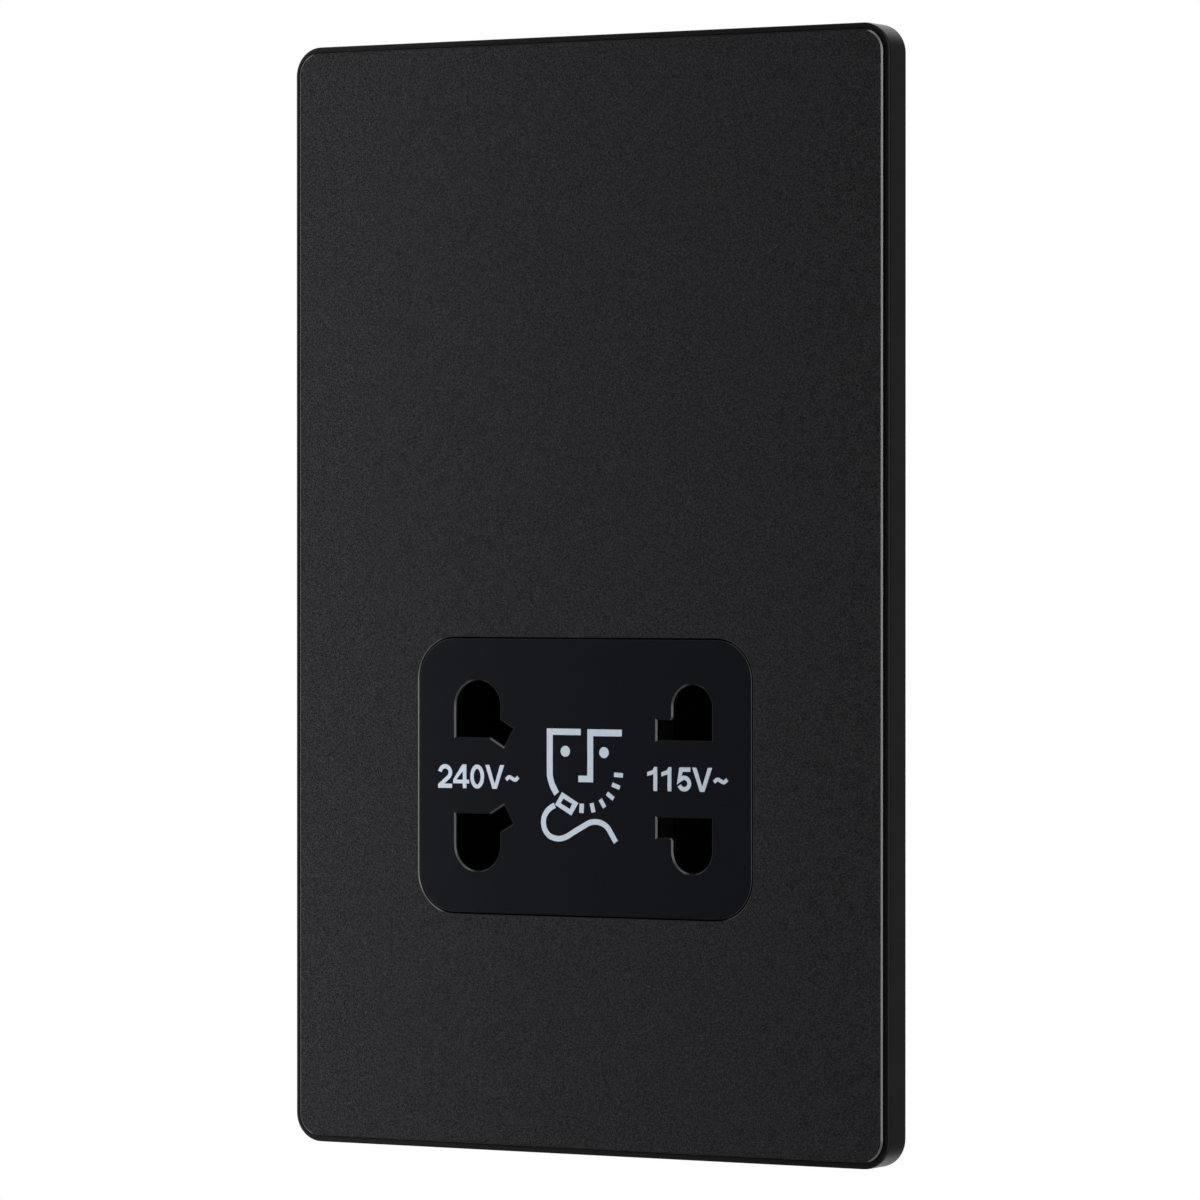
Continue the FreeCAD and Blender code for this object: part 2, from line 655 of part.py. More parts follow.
hook = [
    ("clip_outer", "hook_gap"),
    ("clip_outer + clip_hook", "hook_gap"),
    ("clip_outer + clip_hook", "hook_gap + hook_flat"),
    ("clip_outer", "clip_reach"),
]
for up in ("clip_up", "-clip_up"):
    low, high = f"{up} - clip_length / 2", f"{up} + clip_length / 2"
    leg = rectangle("clip_inner", "clip_outer", low, high)
    frame.add("Y", "floor_rear", "clip_reach", leg, mirrored(leg))
    frame.add("Z", low, high, hook, mirrored(hook))

# Face panel: the textured sheet set in the frame, standing slightly in front of the rim
panel = Moulding("face_panel")
panel.add_rounded(
    "Y",
    "panel_front",
    "panel_rear",
    "-panel_half_width",
    "panel_half_width",
    "-panel_half_height",
    "panel_half_height",
    "panel_corner",
)
panel.soften("Chamfer", "panel_edge", lambda edge: lies_at(edge, "panel_front"))
panel.take_rounded(
    "Y",
    "panel_front",
    "panel_rear",
    "-face_half - window_gap",
    "face_half + window_gap",
    "face_bottom - window_gap",
    "face_top + window_gap",
    "face_corner + window_gap",
)
panel.soften(
    "Chamfer",
    "window_edge",
    lambda edge: lies_at(edge, "panel_front")
    and abs(edge.BoundBox.Center.z - number("outlet_level")) < number("face_height / 2 + 1"),
)

# Socket moulding: the smooth face, the shutter chamber, the screw posts and the core posts
socket = Moulding("socket_moulding")
socket.add_rounded(
    "Y", "face_front", "0", "-face_half", "face_half", "face_bottom", "face_top", "face_corner"
)
socket.soften("Fillet", "face_edge", lambda edge: lies_at(edge, "face_front"))
socket.add_rounded(
    "Y", "0", "flange_thick", "-case_half", "case_half", "case_bottom", "case_top", "case_corner"
)
chamber = rectangle("-chamber_half", "chamber_half", "chamber_bottom", "chamber_top")
chamber_outside = rectangle(
    "-chamber_half - chamber_wall",
    "chamber_half + chamber_wall",
    "chamber_bottom - chamber_wall",
    "chamber_top + chamber_wall",
)
socket.take("Y", "face_front + face_skin", "flange_thick", chamber)
socket.add("Y", "flange_thick", "chamber_rear", chamber_outside, chamber)
spring_rib = rectangle(
    "-rib_thick / 2",
    "rib_thick / 2",
    "outlet_level - rib_height / 2",
    "outlet_level + rib_height / 2",
)
socket.add("Y", "face_front + face_skin", "chamber_rear", spring_rib)
upper_posts = [("boss_across", "boss_top"), ("-boss_across", "boss_top")]
lower_posts = [("boss_across", "boss_bottom"), ("-boss_across", "boss_bottom")]
for posts, floor in ((upper_posts, "high_floor"), (lower_posts, "low_floor")):
    socket.add_round("Y", "flange_thick", floor, "boss_size", *posts)
    socket.take_round("Y", f"{floor} - screw_depth", floor, "screw_hole", *posts)
    socket.take_round("Y", "0", "screw_depth", "screw_hole", *posts)
core_places = [
    (f"{side} * core_hole_across", f"core_level {sign} core_hole_up")
    for side in (1, -1)
    for sign in "+-"
]
socket.add_round("Y", "flange_thick", "core_front", "core_post", *core_places)
socket.take_round(
    "Y", "core_front - core_pilot_depth", "core_front", "core_pilot", *core_places
)

wide_left = "-wide_pin_across - wide_pin_width / 2"
wide_right = "-wide_pin_across + wide_pin_width / 2"
wide_arch = "(wide_pin_far - wide_pin_width / 2)"
slant_across = "-wide_pin_across + slant_reach"
rise, run = "sin(slant_angle)", "cos(slant_angle)"
slant_tip = (
    f"({slant_across} + slant_width / 2 * {rise})",
    f"(wide_pin_near + slant_width / 2 * {run})",
)
slant_heel = (
    f"({slant_across} - slant_width / 2 * {rise})",
    f"(wide_pin_near - slant_width / 2 * {run})",
)
wide_opening = [
    (wide_left, "wide_pin_near"),
    (f"{slant_heel[0]} - slant_width / 2 * {run} * {run} / {rise}", "wide_pin_near"),
    slant_heel,
    slant_tip,
    (wide_right, f"{slant_tip[1]} + ({slant_tip[0]} - ({wide_right})) * {rise} / {run}"),
    (wide_right, wide_arch),
    (wide_left, wide_arch),
]
slim_left = "slim_pin_across - slim_pin_width / 2"
slim_right = "slim_pin_across + slim_pin_width / 2"
slim_arch = "(slim_pin_far - slim_pin_width / 2)"
slot_end = "slim_pin_across - side_slot_reach"
slot_top = "(slim_pin_near + side_slot_height)"
slim_opening = [
    (slot_end, "slim_pin_near"),
    (slim_right, "slim_pin_near"),
    (slim_right, slim_arch),
    (slim_left, slim_arch),
    (slim_left, slot_top),
    (slot_end, slot_top),
]
for opening, arc_after in ((wide_opening, 5), (slim_opening, 2)):
    upper = [(across, f"outlet_level + ({up})") for across, up in opening]
    lower = [(across, f"outlet_level - ({up})") for across, up in reversed(opening)]
    socket.take("Y", "face_front", "face_front + face_skin", upper, arc_after=arc_after)
    lower_arc = len(opening) - 2 - arc_after
    socket.take("Y", "face_front", "face_front + face_skin", lower, arc_after=lower_arc)
socket.soften(
    "Fillet",
    "side_slot_round",
    lambda edge: runs_deep_at(edge, slim_left, f"outlet_level + {slot_top}")
    or runs_deep_at(edge, slim_left, f"outlet_level - {slot_top}"),
)
socket.soften(
    "Chamfer",
    "opening_edge",
    lambda edge: lies_at(edge, "face_front")
    and abs(edge.BoundBox.Center.x) < number("face_half - 2 * face_edge")
    and abs(edge.BoundBox.Center.z - number("outlet_level")) < number("face_height / 2 - face_corner"),
)

# Mounting yoke: the steel plate that is screwed to the wall box and carries everything
yoke = Moulding("mounting_yoke")
yoke.add_rounded(
    "Y",
    "-yoke_thick",
    "0",
    "-yoke_half_width",
    "yoke_half_width",
    "-yoke_half_height",
    "yoke_half_height",
    "yoke_corner",
)
yoke.take_rounded(
    "Y",
    "-yoke_thick",
    "0",
    "-face_half - yoke_window_gap",
    "face_half + yoke_window_gap",
    "face_bottom - yoke_window_gap",
    "face_top + yoke_window_gap",
    "face_corner + yoke_window_gap",
)
yoke.take_round(
    "Y",
    "-yoke_thick",
    "0",
    "fixing_hole",
    ("0", "fixing_centres / 2"),
    ("0", "-fixing_centres / 2"),
)
yoke.take_round("Y", "-yoke_thick", "0", "screw_clearance", *upper_posts, *lower_posts)
for up in ("clip_up", "-clip_up"):
    slot = rectangle(
        "clip_inner - clip_slot_across",
        "clip_outer + clip_slot_across",
        f"{up} - clip_length / 2 - clip_slot_up",
        f"{up} + clip_length / 2 + clip_slot_up",
    )
    yoke.take("Y", "-yoke_thick", "0", slot, mirrored(slot))
tab_left = "earth_across - earth_tab_width / 2"
tab_right = "earth_across + earth_tab_width / 2"
tab_low = "earth_tab_level - yoke_thick"
yoke.take(
    "Y",
    "-yoke_thick",
    "0",
    rectangle(
        f"{tab_left} - tab_relief",
        f"{tab_right} + tab_relief",
        f"{tab_low} - earth_tab_reach",
        tab_low,
    ),
)
yoke.add(
    "Y", "-yoke_thick", "earth_tab_reach", rectangle(tab_left, tab_right, tab_low, "earth_tab_level")
)
yoke.take_round("Z", tab_low, "earth_tab_level", "rivet_hole", ("earth_across", "rivet_depth"))

# Earth link: the brass strip from the yoke's tab to the earth terminal
link = Moulding("earth_link")
link_left, link_right = "earth_across - link_width / 2", "earth_across + link_width / 2"
link_top = "brass_bottom + link_lap"
link_path = [
    ("link_start", "earth_tab_level"),
    ("brass_front", "earth_tab_level"),
    ("brass_front", link_top),
    ("brass_front - link_thick", link_top),
    ("brass_front - link_thick", "earth_tab_level + link_thick"),
    ("link_start", "earth_tab_level + link_thick"),
]
link.add("X", link_left, link_right, link_path)
link.take_round(
    "Z",
    "earth_tab_level",
    "earth_tab_level + link_thick",
    "rivet_hole",
    ("earth_across", "rivet_depth"),
)

# Earth rivet: joins the link to the tab
rivet_top = "earth_tab_level + link_thick"
keep(
    joined(
        "earth_rivet",
        [
            rod("rivet_shank", "Z", tab_low, rivet_top, "earth_across", "rivet_depth", "rivet_body"),
            rod(
                "rivet_upper_head",
                "Z",
                rivet_top,
                f"{rivet_top} + rivet_cap",
                "earth_across",
                "rivet_depth",
                "rivet_head",
            ),
            rod(
                "rivet_lower_head",
                "Z",
                f"{tab_low} - rivet_cap",
                tab_low,
                "earth_across",
                "rivet_depth",
                "rivet_head",
            ),
        ],
    )
)

# Rear case: one stepped moulding, deepest over the windings, with vents and screw holes
case = Moulding("rear_case")
case.add_rounded(
    "Y", "flange_thick", "low_depth", "-case_half", "case_half", "case_bottom", "case_top", "case_corner"
)
case.add_rounded(
    "Y", "low_depth", "high_depth", "-case_half", "case_half", "case_step", "case_top", "case_corner"
)
case.add_rounded(
    "Y", "high_depth", "hump_depth", "-hump_half", "hump_half", "hump_bottom", "hump_top", "case_corner"
)
case.take(
    "Y",
    "flange_thick",
    "low_floor",
    rectangle("-case_inner", "case_inner", "case_bottom + case_wall", "case_top - case_wall"),
)
case.take(
    "Y",
    "low_floor",
    "high_floor",
    rectangle("-case_inner", "case_inner", "case_step + case_wall", "case_top - case_wall"),
)
case.take(
    "Y",
    "high_floor",
    "hump_floor",
    rectangle(
        "case_wall - hump_half",
        "hump_half - case_wall",
        "hump_bottom + case_wall",
        "hump_top - case_wall",
    ),
)
case.take_round("Y", "high_floor", "high_depth", "screw_clearance", *upper_posts)
case.take_round("Y", "low_floor", "low_depth", "screw_clearance", *lower_posts)
vents = [
    rectangle(
        f"{place} * vent_pitch - vent_width / 2",
        f"{place} * vent_pitch + vent_width / 2",
        "core_level - vent_length / 2",
        "core_level + vent_length / 2",
    )
    for place in (-3, -2, -1, 0, 1, 2, 3)
]
case.take("Y", "hump_floor", "hump_depth", *vents)
tail_slots = [
    rectangle(
        f"{place} * earth_across - tail_width / 2 - tail_gap",
        f"{place} * earth_across + tail_width / 2 + tail_gap",
        "tail_level - tail_thick / 2 - tail_gap",
        "tail_level + tail_thick / 2 + tail_gap",
    )
    for place in (-1, 0, 1)
]
case.take("Y", "low_floor", "low_depth", *tail_slots)

# Terminal housing: three chambers, open below for the wires and behind for the screwdriver
housing = Moulding("terminal_housing")
housing.add(
    "Y", "low_depth", "block_depth", rectangle("-block_half", "block_half", "block_bottom", "block_top")
)
chambers = [
    rectangle(
        f"{place} * earth_across - brass_size / 2 - brass_gap",
        f"{place} * earth_across + brass_size / 2 + brass_gap",
        "brass_front",
        "brass_rear + brass_gap",
    )
    for place in (-1, 0, 1)
]
housing.take("Z", "block_bottom", "brass_top + brass_gap", *chambers)
housing.take("Y", "low_depth", "brass_front", *tail_slots)
clamp_places = [(f"{place} * earth_across", "(brass_top + brass_bottom) / 2") for place in (-1, 0, 1)]
housing.take_round("Y", "brass_rear", "block_depth", "clamp_access", *clamp_places)
housing.take(
    "Y",
    "brass_front - link_thick - link_gap",
    "brass_front",
    rectangle(
        f"{link_left} - link_gap",
        f"{link_right} + link_gap",
        "block_bottom",
        f"{link_top} + 2 * link_gap",
    ),
)

# Terminals: brass blocks with a wire hole from below, a clamp hole behind and a tail in front
for label, place in (("live", -1), ("neutral", 0), ("earth", 1)):
    middle = f"{place} * earth_across"
    terminal = Moulding(f"terminal_{label}")
    terminal.add(
        "Y",
        "brass_front",
        "brass_rear",
        rectangle(
            f"{middle} - brass_size / 2", f"{middle} + brass_size / 2", "brass_bottom", "brass_top"
        ),
    )
    terminal.add(
        "Y",
        "tail_end",
        "brass_front",
        rectangle(
            f"{middle} - tail_width / 2",
            f"{middle} + tail_width / 2",
            "tail_level - tail_thick / 2",
            "tail_level + tail_thick / 2",
        ),
    )
    terminal.take_round("Z", "brass_bottom", "brass_top", "wire_bore", (middle, "wire_depth"))
    terminal.take_round(
        "Y", "wire_depth", "brass_rear", "clamp_hole", (middle, "(brass_top + brass_bottom) / 2")
    )

# Clamp screws: slotted, each resting with its tip just clear of the wire hole
for label, (across, up) in zip(("live", "neutral", "earth"), clamp_places):
    screw_end = "clamp_tip + clamp_length"
    shank = rod(f"clamp_{label}_shank", "Y", "clamp_tip", screw_end, across, up, "clamp_body")
    slot = block(
        f"clamp_{label}_slot",
        f"{across} - clamp_body",
        f"{across} + clamp_body",
        f"{screw_end} - clamp_slot",
        screw_end,
        f"{up} - drive_slot / 2",
        f"{up} + drive_slot / 2",
    )
    keep(without(f"clamp_screw_{label}", shank, slot))

# Shutters: two ramped flaps, an outer web, a spring peg and a cam arm on each side.
# A pin pushes the ramp, and the shutter slides towards the centre line.
flap = [
    ("-shutter_outer", "shutter_rear"),
    ("-shutter_outer", "shutter_low"),
    ("-shutter_inner - shutter_tip", "shutter_front"),
    ("-shutter_inner", "shutter_front"),
    ("-shutter_inner", "shutter_rear"),
]
web = rectangle("-shutter_outer - shutter_web", "-shutter_outer", "web_front", "shutter_rear")
cam = [
    ("-shutter_outer", "cam_front"),
    ("-shutter_inner", "cam_front"),
    ("-shutter_inner", "cam_start - (plunger_across - shutter_inner) * cam_slope"),
    ("-shutter_outer", "shutter_rear"),
]
near_low, near_high = "outlet_level - shutter_near", "outlet_level + shutter_near"
far_low, far_high = "outlet_level - shutter_far", "outlet_level + shutter_far"
for label, turned in (("240", False), ("115", True)):
    side = mirrored if turned else list
    sign = "" if turned else "-"
    shutter = Moulding(f"shutter_{label}")
    shutter.add("Z", far_low, far_high, side(web))
    shutter.add("Z", far_low, near_low, side(flap))
    shutter.add("Z", near_high, far_high, side(flap))
    shutter.add("Z", near_low, f"{near_low} + cam_height", side(cam))
    ends = ("-shutter_outer", "-shutter_outer + peg_length")
    if turned:
        ends = ("shutter_outer - peg_length", "shutter_outer")
    shutter.add_round("X", *ends, "peg_size", ("spring_depth", "outlet_level"))

# Return springs: between each shutter's web and the rib on the centre line
for label, start, end in (
    ("240", "-shutter_outer", "-rib_thick / 2"),
    ("115", "rib_thick / 2", "shutter_outer"),
):
    place = (start, end, "spring_depth", "outlet_level")
    coil = rod(f"spring_{label}_outside", "X", *place, "spring_outer")
    hollow = rod(f"spring_{label}_inside", "X", *place, "spring_outer - 2 * spring_wire")
    keep(without(f"spring_{label}", coil, hollow))

# Contact carrier: a block behind the shutters with four contact wells and two switch pockets
carrier = Moulding("contact_carrier")
carrier.add(
    "Y",
    "carrier_front",
    "carrier_rear",
    rectangle("-carrier_half", "carrier_half", "carrier_bottom", "carrier_top"),
)
wells = [
    rectangle(
        f"{side} * wide_pin_across - well_width / 2",
        f"{side} * wide_pin_across + well_width / 2",
        low,
        high,
    )
    for side in (-1, 1)
    for low, high in (
        ("outlet_level - well_far", "outlet_level - well_near"),
        ("outlet_level + well_near", "outlet_level + well_far"),
    )
]
carrier.take("Y", "carrier_front", "carrier_rear", *wells)
switch_low = "outlet_level - switch_drop"
switch_high = f"{switch_low} + switch_height"
pocket = rectangle(
    "-switch_outer - switch_gap",
    "-switch_inner + switch_gap",
    f"{switch_low} - switch_gap",
    f"{switch_high} + switch_gap",
)
carrier.take("Y", "carrier_front", "switch_rear", pocket, mirrored(pocket))

# Switches and their plungers: pushed by the cam arms to switch the transformer on
for label, sign, body_side in (("240", "-", list), ("115", "", mirrored)):
    switch = Moulding(f"switch_{label}")
    outline = rectangle("-switch_outer", "-switch_inner", switch_low, switch_high)
    switch.add("Y", "switch_front", "switch_rear", body_side(outline))
    centre = (f"{sign}plunger_across", "plunger_level")
    hole = "plunger_size + 2 * plunger_fit"
    plunger_front = "cam_start + plunger_gap"
    plunger_end = f"{plunger_front} + plunger_length"
    hole_end = f"{plunger_end} + cam_lift + plunger_spare"
    switch.take_round("Y", "switch_front", hole_end, hole, centre)
    round_middle = f"{plunger_front} + plunger_size / 2"
    stem = rod(f"stem_{label}", "Y", round_middle, plunger_end, *centre, "plunger_size")
    nose = ball(f"nose_{label}", centre[0], round_middle, centre[1], "plunger_size")
    keep(joined(f"plunger_{label}", [stem, nose]))

# Contacts: strip on the back of the carrier with a pair of leaves standing in each well
leaf = [
    ("contact_root / 2", "carrier_rear"),
    ("contact_grip / 2", "grip_depth"),
    ("contact_mouth / 2", "contact_front"),
    ("contact_mouth / 2 + contact_sheet", "contact_front"),
    ("contact_grip / 2 + contact_sheet", "grip_depth + contact_sheet / 2"),
    ("contact_root / 2 + contact_sheet", "carrier_rear"),
]


def leaves(piece, side, level):
    """A pair of sprung leaves about the pin on this side."""
    middle = f"{side} * wide_pin_across"
    low, high = f"{level} - contact_height / 2", f"{level} + contact_height / 2"
    right_leaf = [(f"{middle} + ({across})", deep) for across, deep in leaf]
    left_leaf = [(f"{middle} - ({across})", deep) for across, deep in reversed(leaf)]
    piece.add("Z", low, high, right_leaf, left_leaf)


strip_half = "(contact_height / 2 - strip_inset)"
strip_reach = "(contact_root / 2 + contact_sheet + strip_margin)"
upper_level, lower_level = "(outlet_level + pin_level)", "(outlet_level - pin_level)"
strip_rear = "carrier_rear + contact_sheet"
common = Moulding("common_contact")
common.add(
    "Y",
    "carrier_rear",
    strip_rear,
    rectangle(
        f"-wide_pin_across - {strip_reach}",
        f"wide_pin_across + {strip_reach}",
        f"{upper_level} - {strip_half}",
        f"{upper_level} + {strip_half}",
    ),
)
leaves(common, -1, upper_level)
leaves(common, 1, upper_level)
for label, side in (("240", -1), ("115", 1)):
    contact = Moulding(f"contact_{label}")
    contact.add(
        "Y",
        "carrier_rear",
        strip_rear,
        rectangle(
            f"{side} * wide_pin_across - {strip_reach}",
            f"{side} * wide_pin_across + {strip_reach}",
            f"{lower_level} - {strip_half}",
            f"{lower_level} + {strip_half}",
        ),
    )
    leaves(contact, side, lower_level)

# Transformer core: a stack of steel laminations with two windows and four screw holes
core = Moulding("core_stack")
windows = [
    rectangle(
        f"{side} * (core_leg + core_window) / 2 - core_window / 2",
        f"{side} * (core_leg + core_window) / 2 + core_window / 2",
        "core_level - core_opening / 2",
        "core_level + core_opening / 2",
    )
    for side in (-1, 1)
]
core.add(
    "Y",
    "core_front",
    "core_rear",
    rectangle("-core_width / 2", "core_width / 2", "core_bottom", "core_top"),
    *windows,
)
core.take_round("Y", "core_front", "core_rear", "core_hole", *core_places)

# Bobbin: a tube on the centre leg with flanges above, below and between the windings
bobbin = Moulding("bobbin")
tube_hole = rectangle(
    "-core_leg / 2 - bobbin_gap",
    "core_leg / 2 + bobbin_gap",
    "core_front - bobbin_gap",
    "core_rear + bobbin_gap",
)
bobbin.add(
    "Z",
    "coil_bottom",
    "coil_top",
    rectangle("-tube_half", "tube_half", "tube_front", "tube_rear"),
    tube_hole,
)
flange = rectangle("-coil_half", "coil_half", "coil_front", "coil_rear")
for low, high in (
    ("coil_bottom", "coil_bottom + bobbin_flange"),
    ("core_level - bobbin_flange / 2", "core_level + bobbin_flange / 2"),
    ("coil_top - bobbin_flange", "coil_top"),
):
    bobbin.add("Z", low, high, flange, tube_hole)

# Windings: the mains winding below the middle flange and the shaver winding above it
for label, low, high in (
    ("mains_winding", "coil_bottom + bobbin_flange", "core_level - bobbin_flange / 2"),
    ("shaver_winding", "core_level + bobbin_flange / 2", "coil_top - bobbin_flange"),
):
    winding = Moulding(label)
    winding.add_rounded(
        "Z",
        low,
        high,
        "winding_inset - coil_half",
        "coil_half - winding_inset",
        "coil_front + winding_inset",
        "winding_rear",
        "winding_round",
    )
    winding.take(
        "Z", low, high, rectangle("-tube_half", "tube_half", "tube_front", "tube_rear")
    )

# Thermal cut-out: a flat block on the back of the mains winding
keep(
    block(
        "thermal_cutout",
        "cutout_across - cutout_width / 2",
        "cutout_across + cutout_width / 2",
        "winding_rear + cutout_gap",
        "winding_rear + cutout_gap + cutout_thick",
        "cutout_low",
        "cutout_low + cutout_height",
    )
)

# Leads: insulated wires with square turns, each run a cylinder and each turn a ball
under_coil = "coil_bottom - lead_size / 2 - lead_gap"
over_coil = "coil_top + lead_size / 2 + lead_gap"
entry_depth = "core_rear + coil_reach / 2"
cutout_depth = "winding_rear + cutout_gap + cutout_thick / 2"
tail_top = "tail_level + tail_thick / 2"
high_run = [("lead_low_depth", "lead_turn"), ("lead_high_depth", "lead_turn")]


def lead(label, points):
    """A lead through the points, which differ in one coordinate at a time."""
    runs = []
    for index, (start, end) in enumerate(zip(points, points[1:]), start=1):
        axis = next(place for place in range(3) if start[place] != end[place])
        low, high = sorted((start[axis], end[axis]), key=number)
        others = [start[place] for place in range(3) if place != axis]
        runs.append(rod(f"{label}_run_{index}", "XYZ"[axis], low, high, *others, "lead_size"))
    for index, point in enumerate(points[1:-1], start=1):
        runs.append(ball(f"{label}_turn_{index}", *point, "lead_size"))
    keep(joined(label, runs))


live_shift = f"{tail_top} + 2 * lead_size"
lead(
    "lead_live",
    [
        ("-earth_across", "lead_low_depth", tail_top),
        ("-earth_across", "lead_low_depth", live_shift),
        ("cutout_across", "lead_low_depth", live_shift),
        *[("cutout_across", deep, up) for deep, up in high_run],
        ("cutout_across", "lead_high_depth", under_coil),
        ("cutout_across", cutout_depth, under_coil),
        ("cutout_across", cutout_depth, "cutout_low"),
    ],
)
for label, across, deep, up in (
    ("lead_neutral", "0", "lead_low_depth", tail_top),
    ("lead_common", "common_across", strip_rear, upper_level),
):
    start = [(across, deep, up)]
    if label == "lead_common":
        start.append((across, "lead_low_depth", up))
    lead(
        label,
        [
            *start,
            *[(across, depth, height) for depth, height in high_run],
            (across, "lead_high_depth", under_coil),
            (across, entry_depth, under_coil),
            (across, entry_depth, "coil_bottom"),
        ],
    )
for label, side in (("lead_240", "-"), ("lead_115", "")):
    across, inner = f"{side}(lead_side)", f"{side}core_leg * 0.7"
    lead(
        label,
        [
            (across, strip_rear, lower_level),
            (across, "lead_low_depth", lower_level),
            *[(across, depth, height) for depth, height in high_run],
            (across, "lead_high_depth", over_coil),
            (inner, "lead_high_depth", over_coil),
            (inner, entry_depth, over_coil),
            (inner, entry_depth, "coil_top"),
        ],
    )

# Screws: the yoke to the module, the rear case to the module, and the core to its posts
post_places = [(*place, "0") for place in upper_posts + lower_posts]
screw_set(
    "yoke_screws",
    post_places,
    "front",
    "-yoke_thick - thin_head",
    "-yoke_thick",
    "screw_depth - screw_spare",
    "screw_body",
    "screw_head",
)
case_places = [(*place, "high_depth") for place in upper_posts]
case_places += [(*place, "low_depth") for place in lower_posts]
screw_set(
    "case_screws",
    case_places,
    "rear",
    "0",
    "pan_head",
    "-case_wall - screw_depth + screw_spare",
    "screw_body",
    "screw_head",
)
screw_set(
    "core_screws",
    [(*place, "0") for place in core_places],
    "rear",
    "core_rear",
    "core_rear + pan_head",
    "core_front - core_pilot_depth + screw_spare",
    "core_screw",
    "core_head",
)

document.recompute()
for item in document.Objects:
    if "Invalid" in item.State or "Error" in item.State:
        raise RuntimeError(f"{item.Label} did not recompute: {item.State}")
os.makedirs("parts", exist_ok=True)
for piece in KEPT:
    shape = piece.Shape
    if shape.isNull() or not shape.isValid():
        raise RuntimeError(f"{piece.Label} has no valid shape")
    shape.exportStep(f"parts/{piece.Label}.step")
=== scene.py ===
import json
from math import cos, pi, radians, sin

import bmesh
import bpy
from mathutils import Matrix, Vector


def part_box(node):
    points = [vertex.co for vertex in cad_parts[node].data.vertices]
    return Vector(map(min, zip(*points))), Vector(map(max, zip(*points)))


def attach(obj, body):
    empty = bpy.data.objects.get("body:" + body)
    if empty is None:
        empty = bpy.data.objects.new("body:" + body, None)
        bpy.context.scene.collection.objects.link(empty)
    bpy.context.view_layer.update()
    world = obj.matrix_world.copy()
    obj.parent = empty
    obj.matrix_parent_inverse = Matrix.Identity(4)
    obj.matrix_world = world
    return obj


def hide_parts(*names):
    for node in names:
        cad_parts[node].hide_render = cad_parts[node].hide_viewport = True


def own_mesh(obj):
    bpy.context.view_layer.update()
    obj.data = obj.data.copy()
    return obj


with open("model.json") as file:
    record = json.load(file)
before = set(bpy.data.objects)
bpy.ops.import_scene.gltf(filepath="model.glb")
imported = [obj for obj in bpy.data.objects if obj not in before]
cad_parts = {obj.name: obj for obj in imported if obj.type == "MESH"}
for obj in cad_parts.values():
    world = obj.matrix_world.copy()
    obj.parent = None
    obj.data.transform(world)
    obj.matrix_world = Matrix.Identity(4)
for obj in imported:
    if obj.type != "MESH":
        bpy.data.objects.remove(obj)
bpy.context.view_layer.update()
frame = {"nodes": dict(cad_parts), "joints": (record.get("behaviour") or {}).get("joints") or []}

bl_info = {
    "name": "Shaver socket finish",
    "version": (1, 0, 0),
    "blender": (4, 5, 0),
    "location": "View3D > Sidebar > Shaver socket",
    "description": "Finishes, printed figures, coil springs and studio for the shaver socket",
    "category": "Object",
}

MM = 0.001
FLOOR_RADIUS = 0.7
FLOOR_LEVEL = -0.16

# How far the painted shade line around the panel reaches outside the panel, at its left and bottom
PAINTED_SHADE_LOW = Vector((0.42, 0, 0.12)) * MM
# The same at its right and top
PAINTED_SHADE_HIGH = Vector((0.12, 0, 0.12)) * MM

# The scale at which a wave texture's bands lie one metre apart
WAVE_SCALE = 2 * pi / 20

# Lamps, each with its place, width and height in metres and its power in watts
LAMPS = (
    ("left_panel", (-0.14, -0.09, 0.0), 0.08, 0.5, 0.69),
    ("right_strip", (0.95, -0.55, 0.16), 0.05, 1.0, 2.05),
    ("top_panel", (-0.05, -0.35, 0.9), 0.6, 0.4, 0.75),
    ("rear_panel", (-0.15, 0.45, 0.85), 0.6, 0.5, 6.0),
)


# Shader values

class Value:
    """A number that varies over a surface. Its sums and products add nodes to the finish."""

    def __init__(self, finish, socket):
        self.finish = finish
        self.socket = socket

    def combined(self, operation, *values):
        return self.finish.node("ShaderNodeMath", {"operation": operation}, dict(enumerate(values)))

    def __add__(self, other):
        return self.combined("ADD", self, other)

    def __sub__(self, other):
        return self.combined("SUBTRACT", self, other)

    def __rsub__(self, other):
        return self.combined("SUBTRACT", other, self)

    def __abs__(self):
        return self.combined("ABSOLUTE", self)

    def __mul__(self, other):
        return self.combined("MULTIPLY", self, other)

    __radd__ = __add__
    __rmul__ = __mul__


